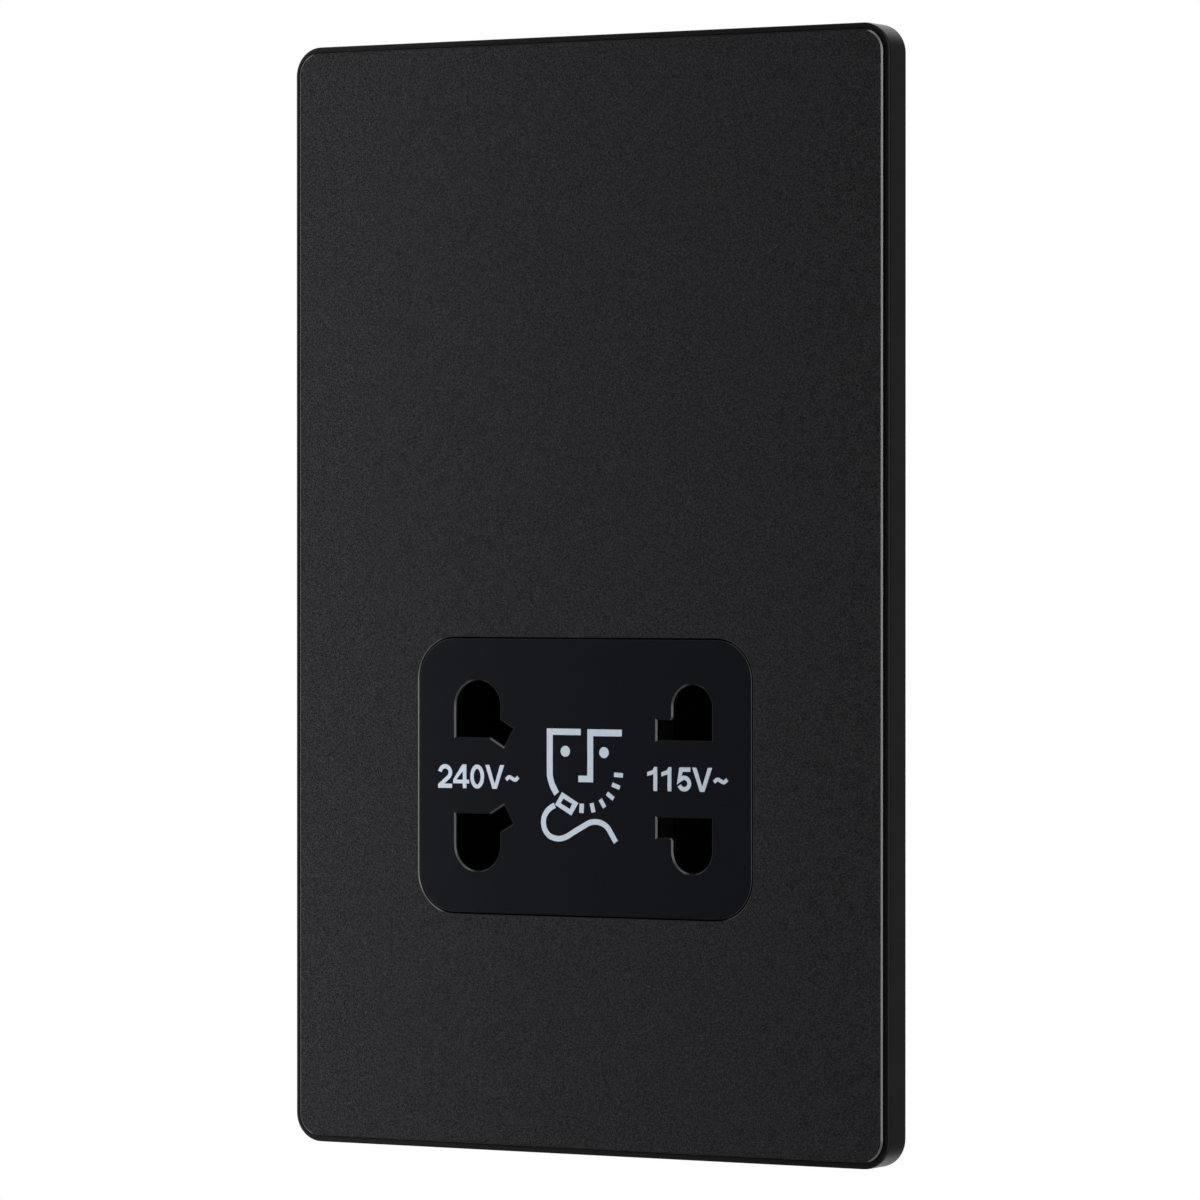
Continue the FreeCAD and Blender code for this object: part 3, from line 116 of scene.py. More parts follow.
class Finish:
    """One material, built up from nodes around a single surface shader."""

    def __init__(self, name):
        self.material = bpy.data.materials.new(name)
        self.material.use_nodes = True
        self.tree = self.material.node_tree
        self.shader = self.tree.nodes["Principled BSDF"]

    def node(self, kind, settings, sockets, output=0):
        """A node of this kind with its settings made first, then its sockets."""
        node = self.tree.nodes.new(kind)
        for name, setting in settings.items():
            setattr(node, name, setting)
        for name, value in sockets.items():
            self.feed(node.inputs[name], value)
        return Value(self, node.outputs[output])

    def feed(self, socket, value):
        if isinstance(value, Value):
            self.tree.links.new(value.socket, socket)
        elif hasattr(value, "__len__") and socket.type == "RGBA":
            socket.default_value = (*value[:3], 1)
        else:
            socket.default_value = value

    def place(self, stretch=(1, 1, 1)):
        """The point on the object in metres, stretched along the axes."""
        here = self.node("ShaderNodeTexCoord", {}, {}, output="Object")
        if stretch == (1, 1, 1):
            return here
        return self.node(
            "ShaderNodeVectorMath", {"operation": "MULTIPLY"}, {0: here, 1: stretch}
        )

    def outline(self, low, high, corner):
        """Millimetres outside a rounded rectangle that faces the front."""
        middle, half = (low + high) / 2, (high - low) / 2
        inner = Vector((half.x - corner, 1, half.z - corner))
        place = self.place()
        for operation, other in (
            ("SUBTRACT", middle), ("ABSOLUTE", None), ("SUBTRACT", inner), ("MAXIMUM", (0, 0, 0)),
        ):
            sockets = {0: place} if other is None else {0: place, 1: tuple(other)}
            place = self.node("ShaderNodeVectorMath", {"operation": operation}, sockets)
        reach = self.node("ShaderNodeVectorMath", {"operation": "LENGTH"}, {0: place}, "Value")
        return (reach - corner) * (1 / MM)

    def facing(self, letter):
        """How far the surface faces along one axis of the object, from -1 to 1."""
        normal = self.node("ShaderNodeTexCoord", {}, {}, output="Normal")
        return self.node("ShaderNodeSeparateXYZ", {}, {0: normal}, output=letter)

    def noise(self, grain, detail=2.0, roughness=0.5, stretch=(1, 1, 1)):
        """Soft noise from 0 to 1 with grains of this size in metres."""
        return self.node(
            "ShaderNodeTexNoise",
            {"noise_dimensions": "3D"},
            {
                "Vector": self.place(stretch),
                "Scale": 1 / grain,
                "Detail": detail,
                "Roughness": roughness,
            },
        )

    def cells(self, grain, stretch=(1, 1, 1)):
        """The distance to the nearest of many scattered points, in grains."""
        return self.node(
            "ShaderNodeTexVoronoi",
            {"feature": "F1"},
            {"Vector": self.place(stretch), "Scale": 1 / grain},
        )

    def band(self, value, start, end):
        """0 below start, 1 above end and a smooth rise between them."""
        return self.node(
            "ShaderNodeMapRange",
            {"interpolation_type": "SMOOTHSTEP"},
            {"Value": value, "From Min": start, "From Max": end, "To Min": 0.0, "To Max": 1.0},
        )

    def mix(self, mask, low, high):
        """A colour between two others."""
        return self.node(
            "ShaderNodeMix", {"data_type": "RGBA"}, {0: mask, 6: low, 7: high}, output=2
        )

    def bump(self, height, depth, strength=1.0):
        """The normal of a surface whose height runs from 0 to depth in metres."""
        return self.node(
            "ShaderNodeBump", {}, {"Height": height, "Distance": depth, "Strength": strength}
        )

    def seen(self):
        """1 where the eye, a mirror or clear glass sees this directly, and 0 for its light."""
        seen = 0
        for kind in ("Is Camera Ray", "Is Glossy Ray", "Is Transmission Ray"):
            ray = self.node("ShaderNodeLightPath", {}, {}, output=kind)
            seen = ray.combined("MAXIMUM", ray, seen)
        return seen

    def surface(self, **sockets):
        """Set the surface shader's sockets, named with underscores for spaces."""
        for name, value in sockets.items():
            self.feed(self.shader.inputs[name.replace("_", " ")], value)
        return self.material

    def edged(self, gloss, colour, roughness, letter="X"):
        """Mix in a rubbed, glossier skin on the edges that turn partly along one axis.

        Edges that run level keep almost none of it.
        """
        facing = abs(self.facing(letter))
        turning = self.band(facing, 0.12, 0.34) * (1 - self.band(facing, 0.74, 0.99))
        level = 1 - self.band(abs(self.facing("X")), 0.06, 0.3)
        skin = self.node(
            "ShaderNodeBsdfPrincipled",
            {},
            {
                "Base Color": colour,
                "Roughness": roughness,
                "IOR": 1.6,
                "Specular IOR Level": gloss,
            },
        )
        mixed = self.node(
            "ShaderNodeMixShader",
            {},
            {0: turning * (1 - level * 0.95), 1: Value(self, self.shader.outputs[0]), 2: skin},
        )
        self.feed(self.tree.nodes["Material Output"].inputs["Surface"], mixed)
        return self.material


class Surround(Finish):
    """What the scene stands in, built up from nodes in the same way."""

    def __init__(self, name):
        self.world = bpy.data.worlds.new(name)
        self.world.use_nodes = True
        self.tree = self.world.node_tree


def shade(colour, factor):
    """The colour made lighter or darker."""
    return tuple(min(1.0, part * factor) for part in colour)


def textured_coat(name, colour, speckle, grain, depth, edge):
    """Matt sprayed coat with a fine grain, pale specks and a few painted glints, smooth on its bevel.
    """
    finish = Finish(name)
    grains = finish.noise(grain, 3.0, 0.62)
    drops = finish.cells(grain * 1.7)
    cloud = finish.noise(0.03, 2.0)
    speck = finish.band(finish.noise(grain * 0.8, 2.0, 0.7), 0.35, 0.67)
    # Painted glints: rare dots painted brighter than the specks
    painted_glint = finish.band(finish.noise(grain * 1.1, 1.0), 0.7, 0.78)
    tone = finish.mix(cloud, shade(colour, 0.95), shade(colour, 1.05))
    coat = finish.mix(speck, tone, speckle)
    finish.surface(
        Base_Color=finish.mix(painted_glint, coat, shade(speckle, 1.7)),
        Roughness=0.5 + grains * 0.2,
        Specular_IOR_Level=0.0,
        Normal=finish.bump(grains * 0.7 + (1 - drops) * 0.3, depth),
    )
    return finish.edged(edge, colour, 0.3 + grains * 0.06)


def moulded_plastic(
    name, colour, roughness, grain=0.00022, depth=0.000004, specular=0.2, edge=None, joint=None
):
    """Moulded plastic with a fine tool grain, faint flow and rubbed patches.

    The edge says how glossy its rubbed edges are. The joint is a rounded rectangle inside which the
    plastic is darkened to a painted shade line, and with it only the edges that turn to the sides are
    glossy.
    """
    finish = Finish(name)
    grains = finish.noise(grain, 2.0, 0.55)
    flow = finish.noise(0.012, 3.0, stretch=(1, 1, 0.35))
    rubbed = finish.noise(0.004, 4.0, 0.6)
    tone = finish.mix(flow, shade(colour, 0.93), shade(colour, 1.07))
    if joint:
        # Painted shade: inside the joint outline, just past the panel's edge, the plastic darkens to
        # a near-black line
        tone = finish.mix(finish.band(finish.outline(*joint), -0.05, 0.05), shade(colour, 0.06), tone)
    finish.surface(
        Base_Color=tone,
        Roughness=roughness - 0.06 + rubbed * 0.12,
        Specular_IOR_Level=specular,
        Normal=finish.bump(grains, depth),
    )
    if edge:
        return finish.edged(edge, colour, 0.28 + rubbed * 0.08, "X" if joint else "Y")
    return finish.material


def plated_metal(name, colour, roughness, stretch=(1, 1, 1), depth=0.000003, tint=None):
    """Plated or rolled metal with fine lines along its run and a little cloudy tint."""
    finish = Finish(name)
    lines = finish.noise(0.0002, 3.0, 0.6, stretch=stretch)
    cloud = finish.noise(0.006, 3.0, 0.55)
    spots = finish.band(finish.noise(0.0011, 2.0), 0.66, 0.8)
    tone = finish.mix(cloud, shade(colour, 0.88), tint or shade(colour, 1.08))
    return finish.surface(
        Base_Color=finish.mix(spots * 0.4, tone, shade(colour, 0.7)),
        Roughness=roughness - 0.07 + lines * 0.09 + cloud * 0.08,
        Metallic=1.0,
        Normal=finish.bump(lines, depth),
    )


def laminated_steel(name, colour, sheet):
    """A stack of thin varnished steel sheets, seen as fine lines across its thickness."""
    finish = Finish(name)
    ripple = finish.node(
        "ShaderNodeTexWave",
        {"wave_type": "BANDS", "bands_direction": "Y", "wave_profile": "SIN"},
        {"Vector": finish.place(), "Scale": WAVE_SCALE / sheet, "Distortion": 0.0},
    )
    varnish = finish.noise(0.004, 4.0, 0.6)
    rust = finish.band(finish.noise(0.0018, 3.0), 0.62, 0.8)
    tone = finish.mix(ripple, shade(colour, 0.6), shade(colour, 1.15))
    return finish.surface(
        Base_Color=finish.mix(rust * 0.35, tone, (0.16, 0.09, 0.05)),
        Roughness=0.38 + varnish * 0.22,
        Metallic=0.7,
        Normal=finish.bump(ripple, 0.00004),
    )


def taped_winding(name, colour, wire):
    """Turns of wire showing as ridges through a wrap of thin tape."""
    finish = Finish(name)
    turns = finish.node(
        "ShaderNodeTexWave",
        {"wave_type": "BANDS", "bands_direction": "Z", "wave_profile": "SIN"},
        {"Vector": finish.place(), "Scale": WAVE_SCALE / wire, "Distortion": 0.0},
    )
    wrinkle = finish.noise(0.0025, 4.0, 0.6, stretch=(1, 1, 2.5))
    tone = finish.mix(wrinkle, shade(colour, 0.8), shade(colour, 1.15))
    return finish.surface(
        Base_Color=finish.mix(turns * 0.25, tone, shade(colour, 0.55)),
        Roughness=0.28 + wrinkle * 0.18,
        Specular_IOR_Level=0.4,
        Normal=finish.bump(turns * 0.6 + wrinkle * 0.4, 0.00006),
    )


def printed_ink(name, colour):
    """Pad-printed ink with slightly uneven cover."""
    finish = Finish(name)
    cover = finish.noise(0.00025, 3.0, 0.6)
    thin = finish.noise(0.003, 2.0)
    return finish.surface(
        Base_Color=finish.mix(cover * 0.6 + thin * 0.4, shade(colour, 0.86), shade(colour, 1.06)),
        Roughness=0.45 + cover * 0.15,
        Specular_IOR_Level=0.2,
        Normal=finish.bump(cover, 0.000004),
    )


# Flat drawn shapes

def turned(points, angle, centre):
    """The points turned about a centre, in degrees."""
    spin = Matrix.Rotation(radians(angle), 2)
    return [spin @ (Vector(point) - Vector(centre)) + Vector(centre) for point in points]


def arc(centre, across, up, start, end, steps=14):
    """Points on an oval from one angle to another, in degrees."""
    turns = [radians(start + (end - start) * step / steps) for step in range(steps + 1)]
    return [Vector((centre[0] + across * cos(a), centre[1] + up * sin(a))) for a in turns]


def smooth(points, steps=8):
    """A flowing line through the points."""
    spots = [Vector(point) for point in points]
    ends = [2 * spots[0] - spots[1], *spots, 2 * spots[-1] - spots[-2]]
    line = []
    for before, start, end, after in zip(ends, ends[1:], ends[2:], ends[3:]):
        for step in range(steps):
            t = step / steps
            line.append(
                0.5
                * (
                    2 * start
                    + (end - before) * t
                    + (2 * before - 5 * start + 4 * end - after) * t**2
                    + (3 * start - before - 3 * end + after) * t**3
                )
            )
    return [*line, spots[-1]]


def edge_of(points, offset, closed):
    """The line moved sideways by the offset, with mitred corners."""
    spots = [Vector(point) for point in points]
    count = len(spots)
    moved = []
    for index, spot in enumerate(spots):
        ahead = spots[(index + 1) % count] - spot
        behind = spot - spots[index - 1]
        if not closed and index == 0:
            behind = ahead
        if not closed and index == count - 1:
            ahead = behind
        sides = [Vector((-run.y, run.x)).normalized() for run in (behind, ahead)]
        mitre = (sides[0] + sides[1]).normalized()
        moved.append(spot + mitre * offset / max(0.35, mitre.dot(sides[1])))
    return moved


def ribbon(points, width, closed=False):
    """The outlines of a line drawn with this width."""
    left = edge_of(points, width / 2, closed)
    right = edge_of(points, -width / 2, closed)
    return [left, right] if closed else [left + right[::-1]]


def flat_piece(name, outlines, front, rear, finish):
    """A thin piece that fills the outlines, lying on the socket face. Sizes in millimetres."""
    curve = bpy.data.curves.new(name, "CURVE")
    curve.dimensions = "2D"
    curve.fill_mode = "BOTH"
    curve.extrude = (rear - front) / 2 * MM
    for outline in outlines:
        spline = curve.splines.new("POLY")
        spline.points.add(len(outline) - 1)
        for point, (across, up) in zip(spline.points, outline):
            point.co = (across * MM, up * MM, 0, 1)
        spline.use_cyclic_u = True
    drawn = bpy.data.objects.new(name, curve)
    bpy.context.scene.collection.objects.link(drawn)
    bpy.context.view_layer.update()
    mesh = bpy.data.meshes.new_from_object(
        drawn.evaluated_get(bpy.context.evaluated_depsgraph_get())
    )
    bpy.data.objects.remove(drawn)
    mesh.name = name
    mesh.transform(
        Matrix.Translation((0, (front + rear) / 2 * MM, 0)) @ Matrix.Rotation(pi / 2, 4, "X")
    )
    merged = bmesh.new()
    merged.from_mesh(mesh)
    bmesh.ops.remove_doubles(merged, verts=merged.verts, dist=1e-7)
    bmesh.ops.recalc_face_normals(merged, faces=merged.faces)
    merged.to_mesh(mesh)
    merged.free()
    mesh.materials.clear()
    mesh.materials.append(finish)
    piece = bpy.data.objects.new(name, mesh)
    bpy.context.scene.collection.objects.link(piece)
    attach(piece, "unit")
    return piece


# Figures beside the outlets. Each fills a box of this width and height with strokes of this weight

def crossing(start, run, place, value):
    """Where the line from start along run reaches a value of one coordinate."""
    return start + run * ((value - start[place]) / run[place])


def figure_two(width, height, weight):
    reach = (width - weight) / 2
    bowl = arc((width / 2, height - weight / 2 - reach), reach, reach, 172, -38)
    run = Vector((weight * 0.7, weight * 0.8)) - bowl[-1]
    outer = edge_of(bowl, weight / 2, False)
    inner = edge_of(bowl, -weight / 2, False)
    side = Vector((-run.y, run.x)).normalized() * weight / 2
    foot = [
        crossing(bowl[-1] + side, run, 1, weight),
        (width, weight),
        (width, 0),
        (0, 0),
        crossing(bowl[-1] - side, run, 0, 0),
    ]
    return [outer + foot + inner[::-1]]


def figure_four(width, height, weight):
    right = width * 0.83
    left = right - weight
    low, high = height * 0.2, height * 0.2 + weight * 0.88
    outside = [
        (right, 0),
        (right, low),
        (width, low),
        (width, high),
        (right, high),
        (right, height),
        (left - weight * 0.12, height),
        (0, high),
        (0, low),
        (left, low),
        (left, 0),
    ]
    return [outside, [(left, high), (left, height - weight * 1.55), (weight * 0.86, high)]]


def figure_nought(width, height, weight):
    middle = (width / 2, height / 2)
    oval = arc(middle, (width - weight) / 2, (height - weight * 0.9) / 2, 0, 360, 32)[:-1]
    return ribbon(oval, weight * 0.96, closed=True)


def figure_one(width, height, weight):
    return [
        [
            (width - weight, 0),
            (width, 0),
            (width, height),
            (width - weight * 0.78, height),
            (width - weight * 1.2, height * 0.87),
            (0, height * 0.78),
            (0, height * 0.61),
            (width - weight, height * 0.7),
        ]
    ]


def figure_five(width, height, weight):
    reach, rise = (width - weight) / 2, height * 0.33 - weight / 2
    bowl = arc((width / 2, rise + weight / 2), reach, rise, 122, -160)
    top = height - weight / 2
    arm = [(width * 0.94, top), (width * 0.27, top), (width * 0.16, height * 0.47)]
    return ribbon([*arm, *bowl], weight)


def letter_v(width, height, weight):
    middle = width / 2
    return [
        [
            (0, height),
            (weight * 1.12, height),
            (middle, weight * 1.15),
            (width - weight * 1.12, height),
            (width, height),
            (middle + weight * 0.6, 0),
            (middle - weight * 0.6, 0),
        ]
    ]


def wave_sign(width, height, weight):
    low, high = weight * 0.45, height - weight * 0.45
    inset = width * 0.1
    wave = [
        (inset, low),
        (width * 0.3, high),
        (width * 0.5, height / 2),
        (width * 0.7, low),
        (width - inset, high),
    ]
    return ribbon(smooth(wave), weight * 0.88)


# Each row gives a figure, then the left, right, low and high side of its box in millimetres
FIGURES_240 = [
    (figure_two, -23.56, -21.26, -27.0, -23.68),
    (figure_four, -21.1, -18.48, -27.0, -23.68),
    (figure_nought, -18.32, -16.03, -27.0, -23.68),
    (letter_v, -15.87, -12.78, -27.0, -23.68),
    (wave_sign, -12.72, -10.24, -25.98, -25.05),
]
FIGURES_115 = [
    (figure_one, 10.16, 11.74, -26.86, -23.55),
    (figure_one, 12.4, 13.98, -26.86, -23.55),
    (figure_five, 14.89, 17.1, -26.86, -23.55),
    (letter_v, 17.25, 20.39, -26.86, -23.55),
    (wave_sign, 20.42, 23.0, -25.78, -24.86),
]


def set_figures(row, weight):
    """The outlines of a row of figures, each moved to its box on the socket face."""
    outlines = []
    for figure, left, right, low, high in row:
        for outline in figure(right - left, high - low, weight):
            outlines.append([(left + across, low + up) for across, up in outline])
    return outlines


# The common sign for a shaver outlet: a face, a shaver at the chin and its lead, in millimetres

def sign_face():
    cheek = [
        (-5.88, -18.47), (-0.44, -18.47), (-0.44, -19.35), (-4.93, -19.35), (-4.93, -25.0),
        (-4.63, -26.0), (-3.94, -27.25), (-4.65, -27.8), (-5.31, -26.75), (-5.69, -25.75),
        (-5.88, -25.0),
    ]
    nose = [
        (0.63, -18.5), (6.12, -18.5), (6.12, -19.45), (1.56, -19.45), (1.56, -25.84),
        (-0.81, -25.84), (-0.81, -24.94), (0.63, -24.94),
    ]
    eyes = [arc(eye, 0.76, 0.76, 0, 360, 24)[:-1] for eye in ((-2.9, -21.6), (3.29, -21.7))]
    return [cheek, nose, *eyes]


def sign_shaver():
    head = [(-3.44, -27.28), (-0.81, -28.75), (-1.94, -30.5), (-4.57, -29.03)]
    foil = [(-3.19, -28.15), (-1.81, -28.88), (-2.19, -29.6), (-3.65, -28.81)]
    return [head, foil]


def sign_lead(weight):
    middle = [
        (-4.6, -29.12), (-5.3, -29.5), (-5.94, -30.1), (-6.4, -31.1), (-6.25, -32.4),
        (-5.4, -33.4), (-4.0, -33.75), (-2.75, -33.45), (-1.5, -32.75), (0, -31.94),
        (1.0, -31.44), (2.0, -31.3), (3.0, -31.5), (3.9, -32.1), (4.5, -33.0), (5.2, -34.06),
    ]
    return ribbon(smooth(middle, 5), weight)


def sign_stubble():
    """Short marks, each with its middle, length, width and angle in degrees."""
    marks = [
        (5.6, -24.77, 1.4, 0.62, -3), (5.19, -26.31, 1.3, 0.6, -20), (4.29, -27.69, 1.3, 0.62, -35),
        (3.04, -28.72, 1.3, 0.62, -58), (1.46, -29.35, 1.3, 0.65, -77),
        (-0.29, -29.46, 1.3, 0.7, -93),
    ]
    outlines = []
    for across, up, length, width, angle in marks:
        centre = Vector((across, up))
        half = Vector((length / 2, 0))
        outlines += ribbon(turned([centre - half, centre + half], angle, centre), width)
    return outlines


# Coil springs

def coil_spring(name, start, end, middle, radius, wire, turns, finish):
    """A spring wound about a line along X, with one closed turn at each end."""
    steps, sides, closed = 20, 10, 1.0
    total = int(turns * steps)
    length = abs(end - start) - wire
    hand = 1 if end > start else -1
    ring = radius - wire / 2
    mesh = bmesh.new()
    loops = []
    for step in range(total + 1):
        turn = step / steps
        lead = min(turn, closed) + min(max(0.0, turn - turns + closed), closed)
        open_length = length - 2 * closed * wire
        share = (turn - lead) / (turns - 2 * closed)
        along = start + hand * (wire / 2 + lead * wire + share * open_length)
        angle = 2 * pi * turn
        out = Vector((0, cos(angle), sin(angle)))
        centre = Vector((along, middle[0], middle[1])) + out * ring
        loop = []
        for side in range(sides):
            around = 2 * pi * side / sides
            spot = centre + (out * cos(around) + Vector((1, 0, 0)) * sin(around)) * wire / 2
            loop.append(mesh.verts.new(spot))
        loops.append(loop)
    for first, second in zip(loops, loops[1:]):
        for side in range(sides):
            following = (side + 1) % sides
            mesh.faces.new((first[side], first[following], second[following], second[side]))
    mesh.faces.new(loops[0][::-1])
    mesh.faces.new(loops[-1])
    bmesh.ops.recalc_face_normals(mesh, faces=mesh.faces)
    data = bpy.data.meshes.new(name)
    mesh.to_mesh(data)
    mesh.free()
    data.polygons.foreach_set("use_smooth", [True] * len(data.polygons))
    data.materials.append(finish)
    spring = bpy.data.objects.new(name, data)
    bpy.context.scene.collection.objects.link(spring)
    return spring


def dress(finish, *nodes):
    """Give these CAD pieces a finish."""
    for name in nodes:
        materials = frame["nodes"][name].data.materials
        materials.clear()
        materials.append(finish)


# Settings

def colour_setting(name, description, default):
    return bpy.props.FloatVectorProperty(
        name=name, description=description, default=default, subtype="COLOR", min=0, max=1
    )


def size_setting(name, description, default):
    return bpy.props.FloatProperty(
        name=name, description=description, default=default, unit="LENGTH", precision=5
    )


class SocketColours(bpy.types.PropertyGroup):
    """Colours of the visible finishes."""

    panel: colour_setting("Panel", "Matt coat on the face panel", (0.0106, 0.0106, 0.0114))
    speck: colour_setting("Panel specks", "Pale specks in the coat", (0.0352, 0.0352, 0.0374))
    rim: colour_setting("Rim", "Moulded front frame", (0.0104, 0.0104, 0.0107))
    face: colour_setting("Socket face", "Smooth socket moulding", (0.0051, 0.0055, 0.0077))
    ink: colour_setting("Ink", "Printed figures and sign", (0.49, 0.565, 0.65))
    case: colour_setting("Rear case", "Moulding behind the wall", (0.56, 0.56, 0.54))


class SocketSizes(bpy.types.PropertyGroup):
    """Sizes of what is drawn or wound here."""

    ink: size_setting("Ink thickness", "How thick the print is", 0.02 * MM)
    figure: size_setting("Figure stroke", "Stroke of the figures", 0.6 * MM)
    sign: size_setting("Sign stroke", "Stroke of the sign's lead", 0.78 * MM)
    # Corner of the painted shade line around the panel
    joint: size_setting("Joint corner", "Corner of the dark line around the panel", 3.3 * MM)
    wire: size_setting("Spring wire", "Return spring wire diameter", 0.4 * MM)
    turns: bpy.props.IntProperty(
        name="Spring turns", description="Turns in each return spring", default=13, min=6, max=24
    )


class StageSettings(bpy.types.PropertyGroup):
    """Camera, lamps and floor."""

    lens: bpy.props.FloatProperty(
        name="Lens", description="Focal length for a 36 mm film", default=199.1, unit="CAMERA"
    )
    yaw: bpy.props.FloatProperty(
        name="Camera turn", description="Camera to the right of straight ahead",
        default=radians(30.115), subtype="ANGLE",
    )
    pitch: bpy.props.FloatProperty(
        name="Camera tilt", description="How far the camera looks down",
        default=radians(0.3137), subtype="ANGLE",
    )
    spot: bpy.props.FloatVectorProperty(
        name="Camera place", description="Where the camera stands",
        default=(0.46255, -0.79805, 0.004387), subtype="TRANSLATION",
    )
    fill: bpy.props.FloatProperty(
        name="Fill level", description="Light from all round", default=0.1, min=0, max=2
    )
    floor: colour_setting("Floor", "Plain pale floor", (0.8, 0.8, 0.8))


# Operators

class ShaverPiece:
    """What the steps that dress and make pieces share."""

    bl_options = {"REGISTER"}

    @property
    def colours(self):
        return bpy.context.scene.shaver_colours

    @property
    def sizes(self):
        return bpy.context.scene.shaver_sizes


class SHAVER_OT_finish_plate(ShaverPiece, bpy.types.Operator):
    """Finish the front frame and the face panel"""

    bl_idname = "shaver.finish_plate"
    bl_label = "Finish the front plate"

    def execute(self, context):
        panel, speck = tuple(self.colours.panel), tuple(self.colours.speck)
        coat = textured_coat("textured_panel", panel, speck, grain=0.0002, depth=0.00004, edge=1.0)
        dress(coat, "face_panel")
        low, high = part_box("face_panel")
        # Outline of the painted shade line around the panel, wider on the left
        joint = (low - PAINTED_SHADE_LOW, high + PAINTED_SHADE_HIGH, self.sizes.joint)
        dress(
            moulded_plastic(
                "frame_plastic", tuple(self.colours.rim), 0.42, specular=0.018, edge=0.13, joint=joint
            ),
            "front_frame",
        )
        return {"FINISHED"}


class SHAVER_OT_finish_socket(ShaverPiece, bpy.types.Operator):
    """Finish the socket moulding and what moves and lies behind it"""

    bl_idname = "shaver.finish_socket"
    bl_label = "Finish the socket"

    def execute(self, context):
        face = tuple(self.colours.face)
        dress(
            moulded_plastic("face_plastic", face, 0.3, depth=0.000002, specular=0.027, edge=0.45),
            "socket_moulding",
        )
        dress(
            moulded_plastic("shutter_plastic", (0.0026, 0.0026, 0.0026), 0.6, specular=0.02),
            "shutter_240",
            "shutter_115",
        )
        dress(
            moulded_plastic("carrier_plastic", (0.008, 0.008, 0.008), 0.6, specular=0.1),
            "contact_carrier",
        )
        dress(
            moulded_plastic("switch_plastic", (0.05, 0.05, 0.052), 0.45, specular=0.4),
            "switch_240",
            "switch_115",
        )
        dress(
            moulded_plastic("plunger_plastic", (0.5, 0.08, 0.06), 0.35, specular=0.45),
            "plunger_240",
            "plunger_115",
        )
        return {"FINISHED"}


class SHAVER_OT_finish_metalwork(ShaverPiece, bpy.types.Operator):
    """Finish the yoke, the contacts, the terminals and the screws"""

    bl_idname = "shaver.finish_metalwork"
    bl_label = "Finish the metalwork"

    def execute(self, context):
        dress(
            plated_metal(
                "zinc_steel", (0.6, 0.61, 0.64), 0.36, stretch=(1, 1, 0.06), tint=(0.62, 0.64, 0.6)
            ),
            "mounting_yoke",
        )
        dress(plated_metal("rivet_metal", (0.6, 0.6, 0.6), 0.34), "earth_rivet")
        dress(
            plated_metal("screw_steel", (0.66, 0.66, 0.67), 0.3, tint=(0.68, 0.68, 0.62)),
            "yoke_screws", "case_screws", "core_screws",
            "clamp_screw_live", "clamp_screw_neutral", "clamp_screw_earth",
        )
        dress(
            plated_metal("contact_brass", (0.78, 0.58, 0.27), 0.24, stretch=(0.05, 1, 1)),
            "common_contact", "contact_240", "contact_115",
        )
        dress(
            plated_metal("brass_strip", (0.76, 0.57, 0.27), 0.3, stretch=(1, 0.05, 1)), "earth_link"
        )
        dress(
            plated_metal("terminal_brass", (0.78, 0.6, 0.3), 0.3, stretch=(1, 1, 0.2)),
            "terminal_live", "terminal_neutral", "terminal_earth",
        )
        return {"FINISHED"}


class SHAVER_OT_finish_case(ShaverPiece, bpy.types.Operator):
    """Finish the rear case and the terminal housing"""

    bl_idname = "shaver.finish_case"
    bl_label = "Finish the rear case"

    def execute(self, context):
        case = tuple(self.colours.case)
        dress(
            moulded_plastic("case_plastic", case, 0.5, grain=0.0003, depth=0.00001, specular=0.45),
            "rear_case",
        )
        dress(
            moulded_plastic(
                "housing_plastic", shade(case, 1.1), 0.45, grain=0.0003, depth=0.000008, specular=0.45
            ),
            "terminal_housing",
        )
        return {"FINISHED"}


class SHAVER_OT_finish_transformer(ShaverPiece, bpy.types.Operator):
    """Finish the core, the bobbin, the windings, the cut-out and the leads"""

    bl_idname = "shaver.finish_transformer"
    bl_label = "Finish the transformer"

    def execute(self, context):
        dress(laminated_steel("lamination_steel", (0.3, 0.3, 0.31), sheet=0.0005), "core_stack")
        dress(moulded_plastic("bobbin_plastic", (0.8, 0.79, 0.74), 0.45, specular=0.45), "bobbin")
        dress(
            taped_winding("winding_tape", (0.75, 0.5, 0.07), wire=0.00045),
            "mains_winding",
            "shaver_winding",
        )
        dress(plated_metal("cutout_metal", (0.7, 0.7, 0.71), 0.33), "thermal_cutout")
        for slot, colour, nodes in (
            ("brown_insulation", (0.2, 0.09, 0.035), ("lead_live",)),
            ("blue_insulation", (0.04, 0.14, 0.48), ("lead_neutral",)),
            ("black_insulation", (0.015, 0.015, 0.016), ("lead_common",)),
            ("red_insulation", (0.5, 0.03, 0.025), ("lead_240",)),
            ("yellow_insulation", (0.74, 0.56, 0.05), ("lead_115",)),
        ):
            dress(moulded_plastic(slot, colour, 0.35, specular=0.45), *nodes)
        return {"FINISHED"}


class SHAVER_OT_print_face(ShaverPiece, bpy.types.Operator):
    """Print the figures beside the outlets and the sign between them"""

    bl_idname = "shaver.print_face"
    bl_label = "Print the socket face"

    def execute(self, context):
        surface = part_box("socket_moulding")[0].y / MM
        ink = printed_ink("face_ink", tuple(self.colours.ink))
        weight = self.sizes.figure / MM
        thickness = self.sizes.ink / MM
        for name, outlines in (
            ("figures_240", set_figures(FIGURES_240, weight)),
            ("figures_115", set_figures(FIGURES_115, weight)),
            ("sign_face", sign_face()),
            ("sign_shaver", sign_shaver()),
            ("sign_lead", sign_lead(self.sizes.sign / MM)),
            ("sign_stubble", sign_stubble()),
        ):
            flat_piece(name, outlines, surface - thickness, surface, ink)
        return {"FINISHED"}


